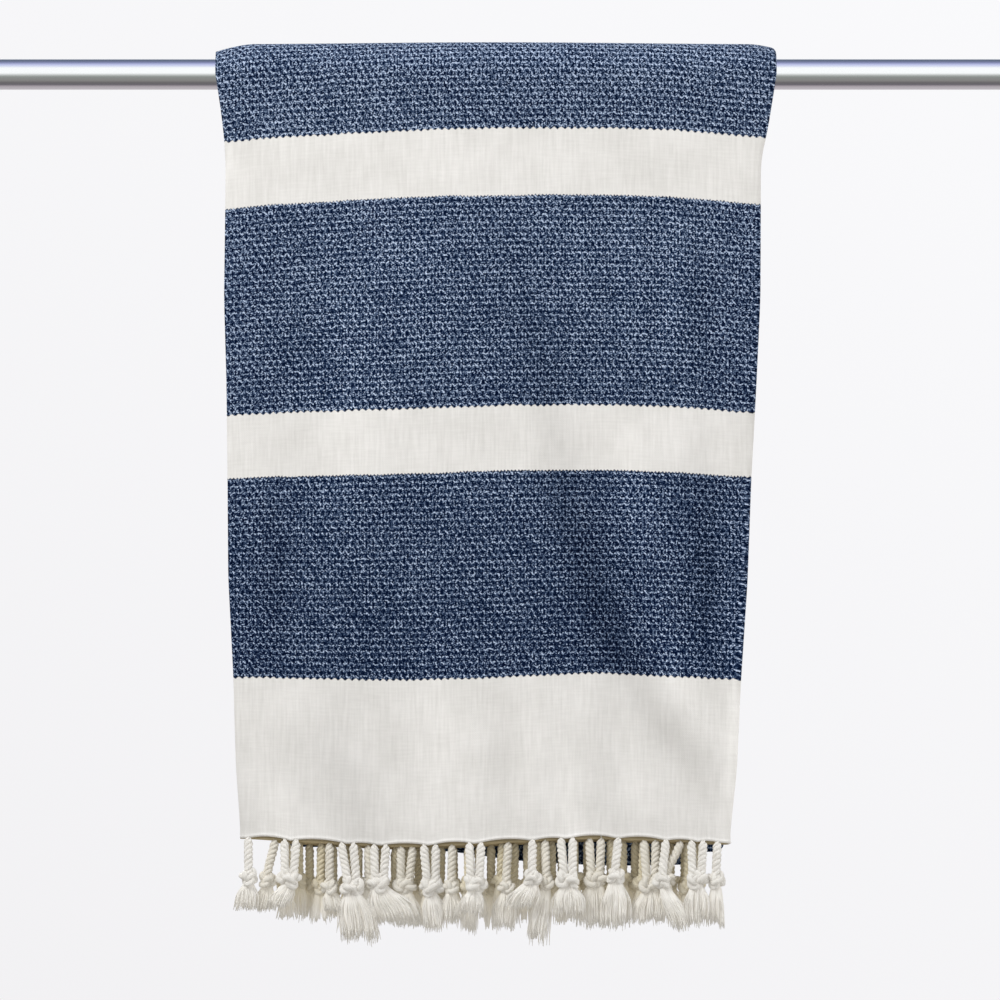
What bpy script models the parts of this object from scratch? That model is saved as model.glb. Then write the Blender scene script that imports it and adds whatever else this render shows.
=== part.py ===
"""A striped cotton hammam towel, folded and hung over a round rod.

The cloth is folded in half crosswise, so that its two fringed ends meet. The doubled cloth is
folded in three lengthwise, back and forth, and laid over the rod with both ends in front. Six
layers hang on each side, with every tassel in front and the crosswise fold at the foot of the back.

Frame: +X runs along the rod from the middle of its left end, -Y points to the viewer and +Z is up.
Sizes are in metres and angles in radians.
"""

import math
import random
from collections import namedtuple
from dataclasses import dataclass

import bmesh
import bpy
import numpy

# Rod
ROD_LENGTH = 0.600
ROD_RADIUS = 0.008
ROD_SIDES = 24
ROD_CHAMFER = 0.0008
MIDDLE = ROD_LENGTH / 2

# Cloth: one sheet in six layers, counted from 0 next to the rod to 5 outside
THICKNESS = 0.0010
LAYERS = 6
SEAT_GAP = 0.0005       # between the rod and the innermost layer
PITCH = 0.0013          # from the middle of one layer to the next
PITCH_MIDDLE = 0.0002   # added half way along the rod, where the layers lie looser
PITCH_FOOT = 0.0011     # added at the foot of each side, where they hang apart
INSET_LEFT = 0.017      # the hidden lengthwise fold stops this far short of the left edge
INSET_RIGHT = 0.014     # the hidden selvedge stops this far short of the right edge
FALL_LEFT = 0.0040      # the outer layers sink this far where no layer carries them
FALL_RIGHT = 0.0024

# Hems and fringe
HEM_DROP = 0.4038       # from the rod's axis to the front hem
HEM_STEP = 0.0009       # each layer further in hangs this much lower in front
BACK_DROP = 0.3985      # from the rod's axis to the outermost crosswise fold
BACK_STEP = math.pi * PITCH - HEM_STEP
STRIP_HEIGHT = 0.0050   # the edge strip that holds the tassels
STRIP_GAP = 0.0005
ROOT_WIDTH = 0.0048
ROOT_MARGIN = 0.0004    # between a root and the end of its panel's flat stretch
CORD_START = 0.0045     # below the hem, where a cord has its full size
CORD_WIDE, CORD_DEEP = 0.0027, 0.0025
KNOT_WIDE, KNOT_DEEP = 0.0042, 0.0038
KNOT_RISE, KNOT_FALL = 0.0040, 0.0042
NECK_WIDE, NECK_DEEP = 0.0033, 0.0030
BRUSH_WIDE, BRUSH_DEEP = 0.0054, 0.0040
BRUSH_GAP = 0.0006      # kept between the tassels
FAN = 1.8               # knots stand this many times further apart in depth than their roots
HIDDEN_SPACE = 0.0190   # between the tassels of a row behind the two front ones
HIDDEN_JITTER = 0.0008

# Steps of the mesh
OVER_STEPS = 8          # round the rod
TURN_STEPS = 4          # round a lengthwise fold
FOOT_STEPS = 3          # round the crosswise fold
ACROSS = (0.16, 0.23, 0.30, 0.38, 0.45, 0.52, 0.59, 0.66, 0.73, 0.80, 0.87)

# Outline in front: drop below the rod's axis, left edge and right edge from the rod's middle
FRONT_EDGES = (
    (0.000, -0.1496, 0.1454),
    (0.014, -0.1475, 0.1433),
    (0.030, -0.1454, 0.1407),
    (0.046, -0.1441, 0.1371),
    (0.080, -0.1444, 0.1370),
    (0.120, -0.1449, 0.1368),
    (0.165, -0.1436, 0.1347),
    (0.215, -0.1430, 0.1320),
    (0.270, -0.1426, 0.1300),
    (0.325, -0.1398, 0.1264),
    (0.370, -0.1386, 0.1244),
    (0.404, -0.1362, 0.1208),
)

# Outline behind, a little narrower so that it stays out of sight from the front
BACK_EDGES = (
    (0.000, -0.1496, 0.1454),
    (0.040, -0.1430, 0.1360),
    (0.110, -0.1424, 0.1350),
    (0.210, -0.1405, 0.1300),
    (0.310, -0.1370, 0.1245),
    (0.404, -0.1335, 0.1185),
)

# How far the front hem hangs below its mean level: place from the rod's middle, drop
HEM_LINE = (
    (-0.136, -0.0026),
    (-0.104, -0.0004),
    (-0.053, 0.0026),
    (-0.015, 0.0010),
    (0.010, -0.0005),
    (0.048, -0.0024),
    (0.074, -0.0013),
    (0.121, 0.0004),
)

# The same for the crosswise fold behind, which hangs askew
BACK_LINE = (
    (-0.134, -0.0090),
    (-0.050, -0.0080),
    (-0.020, -0.0055),
    (0.010, -0.0010),
    (0.060, 0.0015),
    (0.119, 0.0005),
)

# Soft waves of the hanging cloth: place from the rod's middle and share of the drop where each
# stands out most, how far it drifts along the rod down the whole drop, half width, half height
# as a share of the drop, and rise outwards
FRONT_WAVES = (
    (-0.110, 0.62, -0.010, 0.022, 0.30, -0.0020),
    (-0.054, 1.00, 0.010, 0.036, 0.32, -0.0042),
    (0.004, 0.58, 0.020, 0.032, 0.36, 0.0034),
    (0.053, 0.68, 0.060, 0.018, 0.26, -0.0030),
    (0.086, 0.74, 0.070, 0.020, 0.30, 0.0026),
    (0.113, 0.98, 0.000, 0.018, 0.16, -0.0022),
)
BACK_WAVES = (
    (-0.100, 1.00, 0.010, 0.034, 0.45, -0.0020),
    (-0.040, 0.90, -0.015, 0.038, 0.45, 0.0040),
    (0.036, 1.00, 0.020, 0.034, 0.50, -0.0018),
    (0.088, 0.85, 0.010, 0.028, 0.40, 0.0034),
)

# Tassels of the front panel: half of the cloth, place from the rod's middle, length
FRONT_TASSELS = (
    (0, -0.1320, 0.038),
    (0, -0.1100, 0.035),
    (0, -0.0800, 0.052),
    (0, -0.0630, 0.041),
    (0, -0.0370, 0.044),
    (0, -0.0130, 0.037),
    (0, 0.0170, 0.035),
    (0, 0.0350, 0.040),
    (0, 0.0620, 0.046),
    (0, 0.0870, 0.047),
    (0, 0.1035, 0.043),
    (0, 0.1150, 0.044),
    (1, -0.1180, 0.037),
    (1, -0.0895, 0.036),
    (1, -0.0690, 0.041),
    (1, -0.0490, 0.042),
    (1, -0.0250, 0.040),
    (1, 0.0040, 0.045),
    (1, 0.0235, 0.053),
    (1, 0.0500, 0.046),
    (1, 0.0770, 0.043),
    (1, 0.0960, 0.041),
)

# A place on the line that runs between the two halves of the doubled cloth, in a level section
Spot = namedtuple("Spot", "x layer across outward tassel")


@dataclass
class Tassel:
    half: int       # 0 hangs from the outer half of the doubled cloth, 1 from the inner half
    panel: int      # 0 in front, 1 in the middle, 2 next to the rod
    x: float        # where its root is, along the rod
    length: float   # from the hem to the end of its brush
    knot: float     # from the hem to the middle of its knot


def smooth(share):
    """Ease from 0 to 1, level at both ends."""
    share = min(max(share, 0.0), 1.0)
    return share * share * (3.0 - 2.0 * share)


def read_off(table, at, column=1):
    """A column of a table, read between its rows."""
    return float(numpy.interp(at, [row[0] for row in table], [row[column] for row in table]))


def shares(table):
    """The rows of an outline as shares of the whole drop."""
    return [row[0] / table[-1][0] for row in table]


def edges_at(in_front, share):
    """Left and right edge of the pile, a share of the way down one side."""
    table = FRONT_EDGES if in_front else BACK_EDGES
    drop = share * table[-1][0]
    return MIDDLE + read_off(table, drop, 1), MIDDLE + read_off(table, drop, 2)


def pitch_at(x, left, right, share):
    """Distance between the layers."""
    across = min(max((x - left) / (right - left), 0.0), 1.0)
    return PITCH + PITCH_MIDDLE * math.sin(math.pi * across) ** 2 + PITCH_FOOT * smooth(share)


def folds_between(left, right, share):
    """Centres of the left and the right lengthwise fold, and the hidden selvedge."""
    nose = 1.5 * (PITCH + PITCH_FOOT * smooth(share)) + THICKNESS / 2
    return left + INSET_LEFT + nose, right - nose, right - INSET_RIGHT


def fall_at(x, left, right, share):
    """How far the layers sink towards the rod beyond the edges of those under them."""
    left_fold, _, selvedge = folds_between(left, right, share)
    beyond = numpy.interp(x, (left, left_fold, selvedge, right), (FALL_LEFT, 0.0, 0.0, FALL_RIGHT))
    return float(beyond) * (1.0 - smooth(2.5 * share))


def wave_at(x, in_front, share):
    """How far the soft waves of one side stand out."""
    rise = 0.0
    for at, level, drift, wide, tall, high in FRONT_WAVES if in_front else BACK_WAVES:
        across = (x - MIDDLE - at - drift * (share - level)) / wide
        rise += high * math.exp(-(across**2) - ((share - level) / tall) ** 2)
    return rise * smooth(3.0 * share)


def side_length(x, layer, in_front):
    """From the rod's axis to the lower edge of one layer."""
    within = LAYERS - 1 - layer
    if in_front:
        hem = HEM_DROP + read_off(HEM_LINE, x - MIDDLE) + within * HEM_STEP
        return hem - STRIP_HEIGHT - STRIP_GAP
    return BACK_DROP + read_off(BACK_LINE, x - MIDDLE) + within * BACK_STEP


def place(spot, offset, angle, share, below=0.0):
    """A point `offset` out from the line between the halves, `angle` round the rod from the front,
    `share` of the way down that side, and `below` past that."""
    in_front = angle < math.pi / 2
    left, right = edges_at(in_front, share)
    x = spot.x + offset * spot.across
    pitch = pitch_at(x, left, right, share)
    layer = spot.layer + offset * spot.outward / pitch
    reach = ROD_RADIUS + SEAT_GAP + THICKNESS / 2 + layer * pitch - fall_at(x, left, right, share)
    y = -math.cos(angle) * (reach + wave_at(x, in_front, share))
    z = math.sin(angle) * reach - share * side_length(x, layer, in_front) - below
    return x, y, z


def pile_line(left, right, share, stops):
    """The back-and-forth line between the two halves, from the left edge in front to the hidden
    selvedge next to the rod. `stops` holds the places on each of the three panels."""
    left_fold, right_fold, selvedge = folds_between(left, right, share)
    radius = PITCH + PITCH_FOOT * smooth(share)
    angles = [math.pi / 2 - math.pi * step / TURN_STEPS for step in range(1, TURN_STEPS)]
    front, middle, inner = stops
    line = [Spot(x, 4.5, 0.0, 1.0, tassel) for x, tassel in [(left, None)] + front + [(right_fold, None)]]
    for angle in angles:
        out, up = math.cos(angle), math.sin(angle)
        line.append(Spot(right_fold + radius * out, 3.5 + up, out, up, None))
    run = [(right_fold, None)] + middle[::-1] + [(left_fold, None)]
    line += [Spot(x, 2.5, 0.0, -1.0, tassel) for x, tassel in run]
    for angle in angles:
        out, up = math.cos(angle), math.sin(angle)
        line.append(Spot(left_fold - radius * out, 1.5 + up, out, -up, None))
    run = [(left_fold, None)] + inner + [(selvedge, None)]
    return line + [Spot(x, 0.5, 0.0, 1.0, tassel) for x, tassel in run]


def cloth_line(in_front, share):
    """The line between the halves with the mesh's own columns."""
    left, right = edges_at(in_front, share)
    left_fold, _, selvedge = folds_between(left, right, share)
    columns = [(left + part * (right - left), None) for part in ACROSS]
    curl = [((left + left_fold) / 2, None), (left_fold, None)]
    front = curl + columns + [(selvedge, None)]
    return pile_line(left, right, share, (front, columns + [(selvedge, None)], columns))


def cloth_rows():
    """Rows of the mesh from one fringed end to the other, as (angle, share, turn): up the front,
    over the rod, down the back, round the crosswise fold, and the same way back inside."""
    rows = [(0.0, share, 0.0) for share in reversed(shares(FRONT_EDGES))]
    rows += [(math.pi * step / OVER_STEPS, 0.0, 0.0) for step in range(1, OVER_STEPS)]
    rows += [(math.pi, share, 0.0) for share in shares(BACK_EDGES)]
    fold = [(math.pi, 1.0, math.pi * step / FOOT_STEPS) for step in range(1, FOOT_STEPS)]
    return rows + fold + [(angle, share, math.pi) for angle, share, _ in reversed(rows)]


def cloth_point(row, spot, face):
    """A point on the outer face (+1) or the inner face (-1) of the cloth."""
    angle, share, turn = row
    left, right = edges_at(angle < math.pi / 2, share)
    radius = pitch_at(spot.x, left, right, share) / 2 + face * THICKNESS / 2
    return place(spot, radius * math.cos(turn), angle, share, radius * math.sin(turn))


def split_faces(mesh, grid, rows, lines):
    """Two triangles for each cell, all split the same way, so that layers stay parallel."""
    for row in range(len(grid) - 1):
        towards_back = rows[row + 1][0] - rows[row + 1][1] > rows[row][0] - rows[row][1]
        if rows[row][0] == rows[row + 1][0] == math.pi:
            towards_back = rows[row][2] < math.pi
        for column in range(len(grid[row]) - 1):
            a, b = grid[row][column], grid[row][column + 1]
            d, c = grid[row + 1][column], grid[row + 1][column + 1]
            to_right = lines[row][column + 1].x > lines[row][column].x
            if towards_back == to_right:
                mesh.faces.new((a, b, c))
                mesh.faces.new((a, c, d))
            else:
                mesh.faces.new((a, b, d))
                mesh.faces.new((b, c, d))


def close_rim(mesh, outer, inner):
    """The narrow face along the sheet's two selvedges and two short edges."""
    def rim(grid):
        right = [row[-1] for row in grid[1:]]
        left = [row[0] for row in grid[1:-1]]
        return grid[0] + right + grid[-1][-2::-1] + left[::-1]

    around, within = rim(outer), rim(inner)
    for step, vert in enumerate(around):
        after = (step + 1) % len(around)
        mesh.faces.new((vert, around[after], within[after], within[step]))


def finish(mesh, name, colour, roughness, metallic=0.0):
    """Turn a bmesh into a named object with its own material."""
    bmesh.ops.triangulate(mesh, faces=mesh.faces)
    bmesh.ops.recalc_face_normals(mesh, faces=mesh.faces)
    data = bpy.data.meshes.new(name)
    mesh.to_mesh(data)
    mesh.free()
    data.shade_smooth()
    data.set_sharp_from_angle(angle=math.radians(40))
    item = bpy.data.objects.new(name, data)
    bpy.context.scene.collection.objects.link(item)
    item.data.materials.append(surface(name, colour, roughness, metallic))
    return item


def surface(name, colour, roughness, metallic):
    """A Principled material of one colour."""
    material = bpy.data.materials.new(name)
    material.use_nodes = True
    shader = material.node_tree.nodes["Principled BSDF"]
    shader.inputs["Base Color"].default_value = (*colour, 1.0)
    shader.inputs["Roughness"].default_value = roughness
    shader.inputs["Metallic"].default_value = metallic
    return material


def build_towel():
    """The whole cloth as one folded sheet with an outer and an inner face."""
    mesh = bmesh.new()
    rows = cloth_rows()
    lines = [cloth_line(angle < math.pi / 2, share) for angle, share, _ in rows]
    faces = []
    for face in (1, -1):
        points = [[cloth_point(row, spot, face) for spot in line] for row, line in zip(rows, lines)]
        grid = [[mesh.verts.new(point) for point in row] for row in points]
        split_faces(mesh, grid, rows, lines)
        faces.append(grid)
    close_rim(mesh, *faces)
    return finish(mesh, "towel", (0.055, 0.085, 0.170), 0.92)


def root_limits(panel):
    """How far left and right a root can sit on a panel's flat stretch."""
    left, right = edges_at(True, 1.0)
    left_fold, right_fold, selvedge = folds_between(left, right, 1.0)
    start = left if panel == 0 else left_fold
    end = selvedge if panel == 2 else right_fold
    margin = ROOT_WIDTH / 2 + ROOT_MARGIN
    return start + margin, end - margin


def hidden_tassels(panel, chance):
    """Two rows of evenly spaced tassels on a panel that another one hides. Each layer's row starts
    a third of a space after the one outside it."""
    start, end = root_limits(panel)
    row = []
    for half in (0, 1):
        layer = ((2, 3), (1, 0))[panel - 1][half]
        x = start + HIDDEN_SPACE * ((3 - layer) % 3) / 3
        while x < end:
            jitter = chance.uniform(-HIDDEN_JITTER, HIDDEN_JITTER)
            length, knot = chance.uniform(0.036, 0.046), chance.uniform(0.019, 0.024)
            row.append(Tassel(half, panel, x + jitter, length, knot))
            x += HIDDEN_SPACE
    return row


def all_tassels():
    """Every tassel of both ends, with the cords of neighbouring rows kept clear."""
    chance = random.Random(7)
    tassels = []
    for half, x, length in FRONT_TASSELS:
        tassels.append(Tassel(half, 0, MIDDLE + x, length, chance.uniform(0.019, 0.023)))
    for panel in (1, 2):
        tassels += hidden_tassels(panel, chance)
    roots = [root_of(tassel)[:2] for tassel in tassels]
    cleared = spread(roots, 2 * CORD_WIDE + BRUSH_GAP, 2 * CORD_DEEP + BRUSH_GAP, True)
    for tassel, (x, _) in zip(tassels, cleared):
        start, end = root_limits(tassel.panel)
        tassel.x = min(max(x, start), end)
    return tassels


def root_of(tassel):
    """Middle of a tassel's root, at the foot of the edge strip."""
    layer, outward = ((4.5, 1.0), (2.5, -1.0), (0.5, 1.0))[tassel.panel]
    spot = Spot(tassel.x, layer, 0.0, outward, None)
    left, right = edges_at(True, 1.0)
    side = 1 if tassel.half == 0 else -1
    offset = side * pitch_at(tassel.x, left, right, 1.0) / 2
    return place(spot, offset, 0.0, 1.0, STRIP_GAP + STRIP_HEIGHT)


def spread(spots, wide, deep, along_only=False):
    """Push apart the places that are closer than a four-sided brush needs, in order, by steps."""
    for _ in range(120):
        moved = False
        for first in range(len(spots)):
            for second in range(first + 1, len(spots)):
                a, b = spots[first], spots[second]
                dx, dy = b[0] - a[0], b[1] - a[1]
                short = 1.0 - abs(dx) / wide - abs(dy) / deep
                if short <= 0.0:
                    continue
                moved = True
                push_x = math.copysign(short * wide * (0.5 if along_only else 0.25), dx)
                push_y = 0.0 if along_only else math.copysign(short * deep * 0.25, dy)
                spots[first] = (a[0] - push_x, a[1] - push_y)
                spots[second] = (b[0] + push_x, b[1] + push_y)
        if not moved:
            break
    return spots


def hanging_places(tassels):
    """Where each knot and brush hangs: the rows fan out in depth, and no two brushes touch."""
    roots = [root_of(tassel) for tassel in tassels]
    middle = sum(root[1] for root in roots) / len(roots)
    fanned = [(x, middle + FAN * (y - middle)) for x, y, _ in roots]
    return spread(fanned, 2 * BRUSH_WIDE + BRUSH_GAP, 2 * BRUSH_DEEP + BRUSH_GAP)


def strip_line(tassels, half):
    """The line between the halves at the hem, with a stop at each side of every root."""
    left, right = edges_at(True, 1.0)
    stops = []
    for panel in range(3):
        row = [tassel for tassel in tassels if tassel.half == half and tassel.panel == panel]
        row.sort(key=lambda tassel: tassel.x)
        sides = (-ROOT_WIDTH / 2, ROOT_WIDTH / 2)
        stops.append([(tassel.x + side, tassels.index(tassel)) for tassel in row for side in sides])
    return pile_line(left, right, 1.0, stops)


def hang_tassel(mesh, root, tassel, hang):
    """Draw a cord, a knot and a brush out of a root, four-sided, one ring at a time."""
    start = root.calc_center_median()
    signs = [(math.copysign(1, v.co.x - start.x), math.copysign(1, v.co.y - start.y)) for v in root.verts]
    angles = [math.atan2(dy, dx) + math.pi / 4 for dx, dy in signs]
    rings = (
        (CORD_START, CORD_WIDE, CORD_DEEP),
        (tassel.knot - KNOT_RISE, CORD_WIDE, CORD_DEEP),
        (tassel.knot, KNOT_WIDE, KNOT_DEEP),
        (tassel.knot + KNOT_FALL, NECK_WIDE, NECK_DEEP),
        (tassel.length, BRUSH_WIDE, BRUSH_DEEP),
    )
    for drop, wide, deep in rings:
        root = bmesh.ops.extrude_discrete_faces(mesh, faces=[root])["faces"][0]
        lean = min((drop - CORD_START) / (tassel.knot - KNOT_RISE - CORD_START), 1.0)
        x = start.x + lean * (hang[0] - start.x)
        y = start.y + lean * (hang[1] - start.y)
        for vert, angle in zip(root.verts, angles):
            vert.co = (x + wide * math.cos(angle), y + deep * math.sin(angle), start.z - drop)


def build_fringe(name, tassels, hangs, half):
    """The edge strip of one end, with its tassels drawn out of it."""
    mesh = bmesh.new()
    line = strip_line(tassels, half)
    left, right = edges_at(True, 1.0)
    side = 1 if half == 0 else -1
    sections = []
    for spot in line:
        pitch = pitch_at(spot.x, left, right, 1.0)
        corners = ((1, 0.0), (1, STRIP_HEIGHT), (-1, STRIP_HEIGHT), (-1, 0.0))
        offsets = [(side * (pitch + face * THICKNESS) / 2, STRIP_GAP + below) for face, below in corners]
        sections.append([mesh.verts.new(place(spot, off, 0.0, 1.0, below)) for off, below in offsets])
    roots = []
    for before, after, spot, following in zip(sections, sections[1:], line, line[1:]):
        for corner in range(4):
            turn = (corner + 1) % 4
            face = mesh.faces.new((before[corner], before[turn], after[turn], after[corner]))
            if corner == 1 and spot.tassel is not None and spot.tassel == following.tassel:
                roots.append((face, spot.tassel))
    mesh.faces.new(sections[0])
    mesh.faces.new(sections[-1])
    bmesh.ops.recalc_face_normals(mesh, faces=mesh.faces)
    for root, number in roots:
        hang_tassel(mesh, root, tassels[number], hangs[number])
    return finish(mesh, name, (0.720, 0.690, 0.630), 0.95)


def build_rod():
    """A plain round steel bar with its ends broken by a small chamfer."""
    bpy.ops.mesh.primitive_cylinder_add(
        vertices=ROD_SIDES,
        radius=ROD_RADIUS,
        depth=ROD_LENGTH,
        location=(MIDDLE, 0, 0),
        rotation=(0, math.pi / 2, 0),
    )
    rod = bpy.context.object
    rod.name = "rod"
    chamfer = rod.modifiers.new("end chamfer", "BEVEL")
    chamfer.width = ROD_CHAMFER
    chamfer.segments = 1
    chamfer.limit_method = "ANGLE"
    chamfer.angle_limit = math.radians(60)
    rod.data.shade_smooth()
    rod.data.set_sharp_from_angle(angle=math.radians(40))
    rod.data.materials.append(surface("rod", (0.720, 0.730, 0.750), 0.22, 1.0))
    return rod


def main():
    for item in list(bpy.data.objects):
        bpy.data.objects.remove(item, do_unlink=True)
    build_rod()
    build_towel()
    tassels = all_tassels()
    hangs = hanging_places(tassels)
    build_fringe("fringe_outer_end", tassels, hangs, 0)
    build_fringe("fringe_inner_end", tassels, hangs, 1)


main()
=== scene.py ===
"""A striped cotton hammam towel with knotted fringes, folded in six layers over a steel rod."""

import math
import random
from collections import namedtuple
from functools import lru_cache

import bpy
import numpy
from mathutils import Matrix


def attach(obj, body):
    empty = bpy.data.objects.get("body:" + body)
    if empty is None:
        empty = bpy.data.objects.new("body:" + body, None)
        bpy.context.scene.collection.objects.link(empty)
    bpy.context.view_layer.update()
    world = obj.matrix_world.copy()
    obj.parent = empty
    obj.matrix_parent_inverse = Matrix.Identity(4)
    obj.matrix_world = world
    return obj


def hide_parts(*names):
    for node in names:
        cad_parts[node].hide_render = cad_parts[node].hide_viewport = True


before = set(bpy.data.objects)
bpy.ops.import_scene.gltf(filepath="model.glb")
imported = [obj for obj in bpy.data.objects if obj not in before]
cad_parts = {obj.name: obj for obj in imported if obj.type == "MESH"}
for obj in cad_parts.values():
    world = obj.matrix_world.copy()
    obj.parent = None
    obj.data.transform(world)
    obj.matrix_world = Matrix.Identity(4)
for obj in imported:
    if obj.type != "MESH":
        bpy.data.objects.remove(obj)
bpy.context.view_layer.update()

# Camera: straight in front of the towel, on a very long lens, so that the rod, the stripes and the
# hem all look level. The picture is as wide as 0.525 m of the cloth's front.
VIEW_MIDDLE = (0.3000, -0.2241)
VIEW_WIDTH = 0.525
CLOTH_FRONT = -0.016
CAMERA_DISTANCE = 5.0   # from the cloth's front
SENSOR_MM = 36.0

bpy.ops.object.camera_add(
    location=(VIEW_MIDDLE[0], CLOTH_FRONT - CAMERA_DISTANCE, VIEW_MIDDLE[1]),
    rotation=(math.pi / 2, 0.0, 0.0),
)
camera = bpy.context.object
camera.data.sensor_width = SENSOR_MM
camera.data.lens = SENSOR_MM * CAMERA_DISTANCE / VIEW_WIDTH
bpy.context.scene.camera = camera
bpy.context.scene.view_settings.view_transform = "Standard"

# Rod: a round bar of stainless steel, 16 mm thick, drawn as a tube and polished along its length.
# Each end is closed by a flat plug, a little below the tube's rim, which is lightly chamfered.
ROD_LENGTH = 0.600
ROD_RADIUS = 0.008
ROD_SIDES = 96
ROD_WALL = 0.0012
ROD_CHAMFER = 0.0008
PLUG_DEPTH, PLUG_STEP = 0.0003, 0.0002
MIDDLE = ROD_LENGTH / 2


def linear(code):
    """Linear red, green, blue and alpha of an sRGB hex colour."""
    parts = [int(code[at:at + 2], 16) / 255 for at in (0, 2, 4)]
    return (*[part / 12.92 if part <= 0.04045 else ((part + 0.055) / 1.055) ** 2.4 for part in parts], 1.0)


def node(tree, kind, sockets=(), **settings):
    """Add a node. `sockets` gives its inputs, in order or by name, their values or what they are
    linked to."""
    made = tree.nodes.new("ShaderNode" + kind)
    for name, value in settings.items():
        setattr(made, name, value)
    for name, value in sockets.items() if isinstance(sockets, dict) else enumerate(sockets):
        if isinstance(value, bpy.types.Node):
            value = value.outputs[0]
        if isinstance(value, bpy.types.NodeSocket):
            tree.links.new(value, made.inputs[name])
        else:
            made.inputs[name].default_value = value
    return made


def new_material(name):
    """An empty material, and its tree of nodes."""
    material = bpy.data.materials.new(name)
    material.use_nodes = True
    material.node_tree.nodes.clear()
    return material, material.node_tree


def deselect():
    bpy.ops.object.select_all(action="DESELECT")


def select_faces(item, wanted):
    """In edit mode, select only the faces whose centre and normal pass a test."""
    bpy.ops.mesh.select_mode(type="FACE")
    bpy.ops.mesh.select_all(action="DESELECT")
    bpy.ops.object.mode_set(mode="OBJECT")
    for face in item.data.polygons:
        face.select = wanted(face.center, face.normal)
    bpy.ops.object.mode_set(mode="EDIT")


deselect()
bpy.ops.mesh.primitive_cylinder_add(
    vertices=ROD_SIDES,
    radius=ROD_RADIUS,
    depth=ROD_LENGTH,
    location=(MIDDLE, 0.0, 0.0),
    rotation=(0.0, math.pi / 2, 0.0),
)
rod = bpy.context.object
rod.name = "steel_rod"
bpy.ops.object.transform_apply(location=True, rotation=True, scale=True)
bpy.ops.object.mode_set(mode="EDIT")
select_faces(rod, lambda centre, normal: abs(normal.x) > 0.9)
bpy.ops.mesh.bevel(offset=ROD_CHAMFER, segments=3, profile=0.5)
select_faces(rod, lambda centre, normal: abs(normal.x) > 0.99)
bpy.ops.mesh.inset(thickness=ROD_WALL - ROD_CHAMFER / 2)
bpy.ops.mesh.inset(thickness=PLUG_STEP, depth=-PLUG_DEPTH)
bpy.ops.object.mode_set(mode="OBJECT")
bpy.ops.object.shade_smooth_by_angle(angle=math.radians(35))

# Stainless steel, drawn and polished: clear reflections that are only a little blurred, stretched by
# the fine lines of the polishing, which run along the bar.
POLISH_LINE, POLISH_LENGTH = 0.0003, 1 / 6
steel, tree = new_material("Polished stainless steel")
place_on_rod = node(tree, "TexCoord").outputs["Object"]
fine = (1 / POLISH_LENGTH, 1 / POLISH_LINE, 1 / POLISH_LINE)
along = node(tree, "Mapping", {"Vector": place_on_rod, "Scale": fine})
lines = node(tree, "TexNoise", {"Vector": along, "Scale": 1.0, "Detail": 2.0})
smears = node(tree, "TexNoise", {"Vector": place_on_rod, "Scale": 28.0, "Detail": 3.0})
marks = node(tree, "Math", [lines, smears], operation="MULTIPLY")
polish = node(tree, "MapRange", [marks, 0.1, 0.5, 0.13, 0.24])
relief = node(tree, "Bump", {"Height": lines, "Strength": 0.08, "Distance": 0.00005})
shader = node(tree, "BsdfPrincipled", {
    "Base Color": linear("D3D4D6"),
    "Metallic": 1.0,
    "Roughness": polish,
    "Normal": relief,
})
node(tree, "OutputMaterial", [shader])
rod.data.materials.append(steel)
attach(rod, "root")
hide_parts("rod")

# Towel: one cotton cloth, woven in broad navy and off-white stripes, with its own selvedges and a
# rolled edge at each end. It is folded in half crosswise, then in three lengthwise, back and forth,
# and hangs over the rod with both of its ends in front: six layers on each side.
THICKNESS = 0.0010
LAYERS = 6
SEAT_GAP = 0.0005       # between the rod and the innermost layer
PITCH = 0.0013          # from the middle of one layer to the next
PITCH_MIDDLE = 0.0002   # added half way along the rod, where the layers lie looser
PITCH_FOOT = 0.0011     # added at the foot of each side, where they hang apart
INSET_LEFT = 0.017      # the hidden lengthwise fold stops this far short of the left edge
INSET_RIGHT = 0.014     # the hidden selvedge stops this far short of the right edge
FALL_LEFT = 0.0040      # the outer layers sink this far where no layer carries them
FALL_RIGHT = 0.0024
DROOP = 1.5             # how that sinking grows towards the edge

HEM_DROP = 0.4038       # from the rod's axis to the front hem
HEM_STEP = 0.0004       # each layer further in hangs this much lower in front
BACK_DROP = 0.3985      # from the rod's axis to the outermost crosswise fold
BACK_STEP = 0.0032      # and each layer further in hangs this much lower behind
EDGE_BAND = 0.0055      # the last of the cloth, from which the fringe hangs
HEM_ROLL = 0.0019       # how thick the rolled edge is
HEM_LIFT = 0.0018       # how far the edge rises between two cords
LIFT_REACH = 0.016      # how far up the cloth that can be felt
WORN_EDGE = 0.012       # the length over which a table's corners are rounded off
ROLL_FROM, ROLL_OVER = 0.68, 0.18       # where the edge band thickens, as shares of its height
ROUND_FROM, ROUND_OVER = 0.84, 0.16     # and where it is rounded off
ROUND_END = 0.06                        # the square of its last thickness, against the roll's
WAVE_START, FALL_END = 3.0, 2.5         # how soon the waves begin and the sinking ends, going down

# Steps of the mesh
FRONT_STEPS, BACK_STEPS, OVER_STEPS, FOOT_STEPS = 112, 60, 18, 6
HIDDEN_FRONT_STEPS, HIDDEN_BACK_STEPS = 36, 30
TURN_STEPS = 6
PANEL_COLUMNS, HIDDEN_COLUMNS, CURL_COLUMNS = 88, 30, 7
EDGE_STEPS = (0.30, 0.55, 0.70, 0.78, 0.86, 0.93, 0.98, 1.0)

TURN_WOVEN = math.pi * PITCH    # cloth that goes round a lengthwise fold
OVER_RADIUS = ROD_RADIUS + SEAT_GAP + LAYERS * PITCH    # of the outermost layer over the rod

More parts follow.
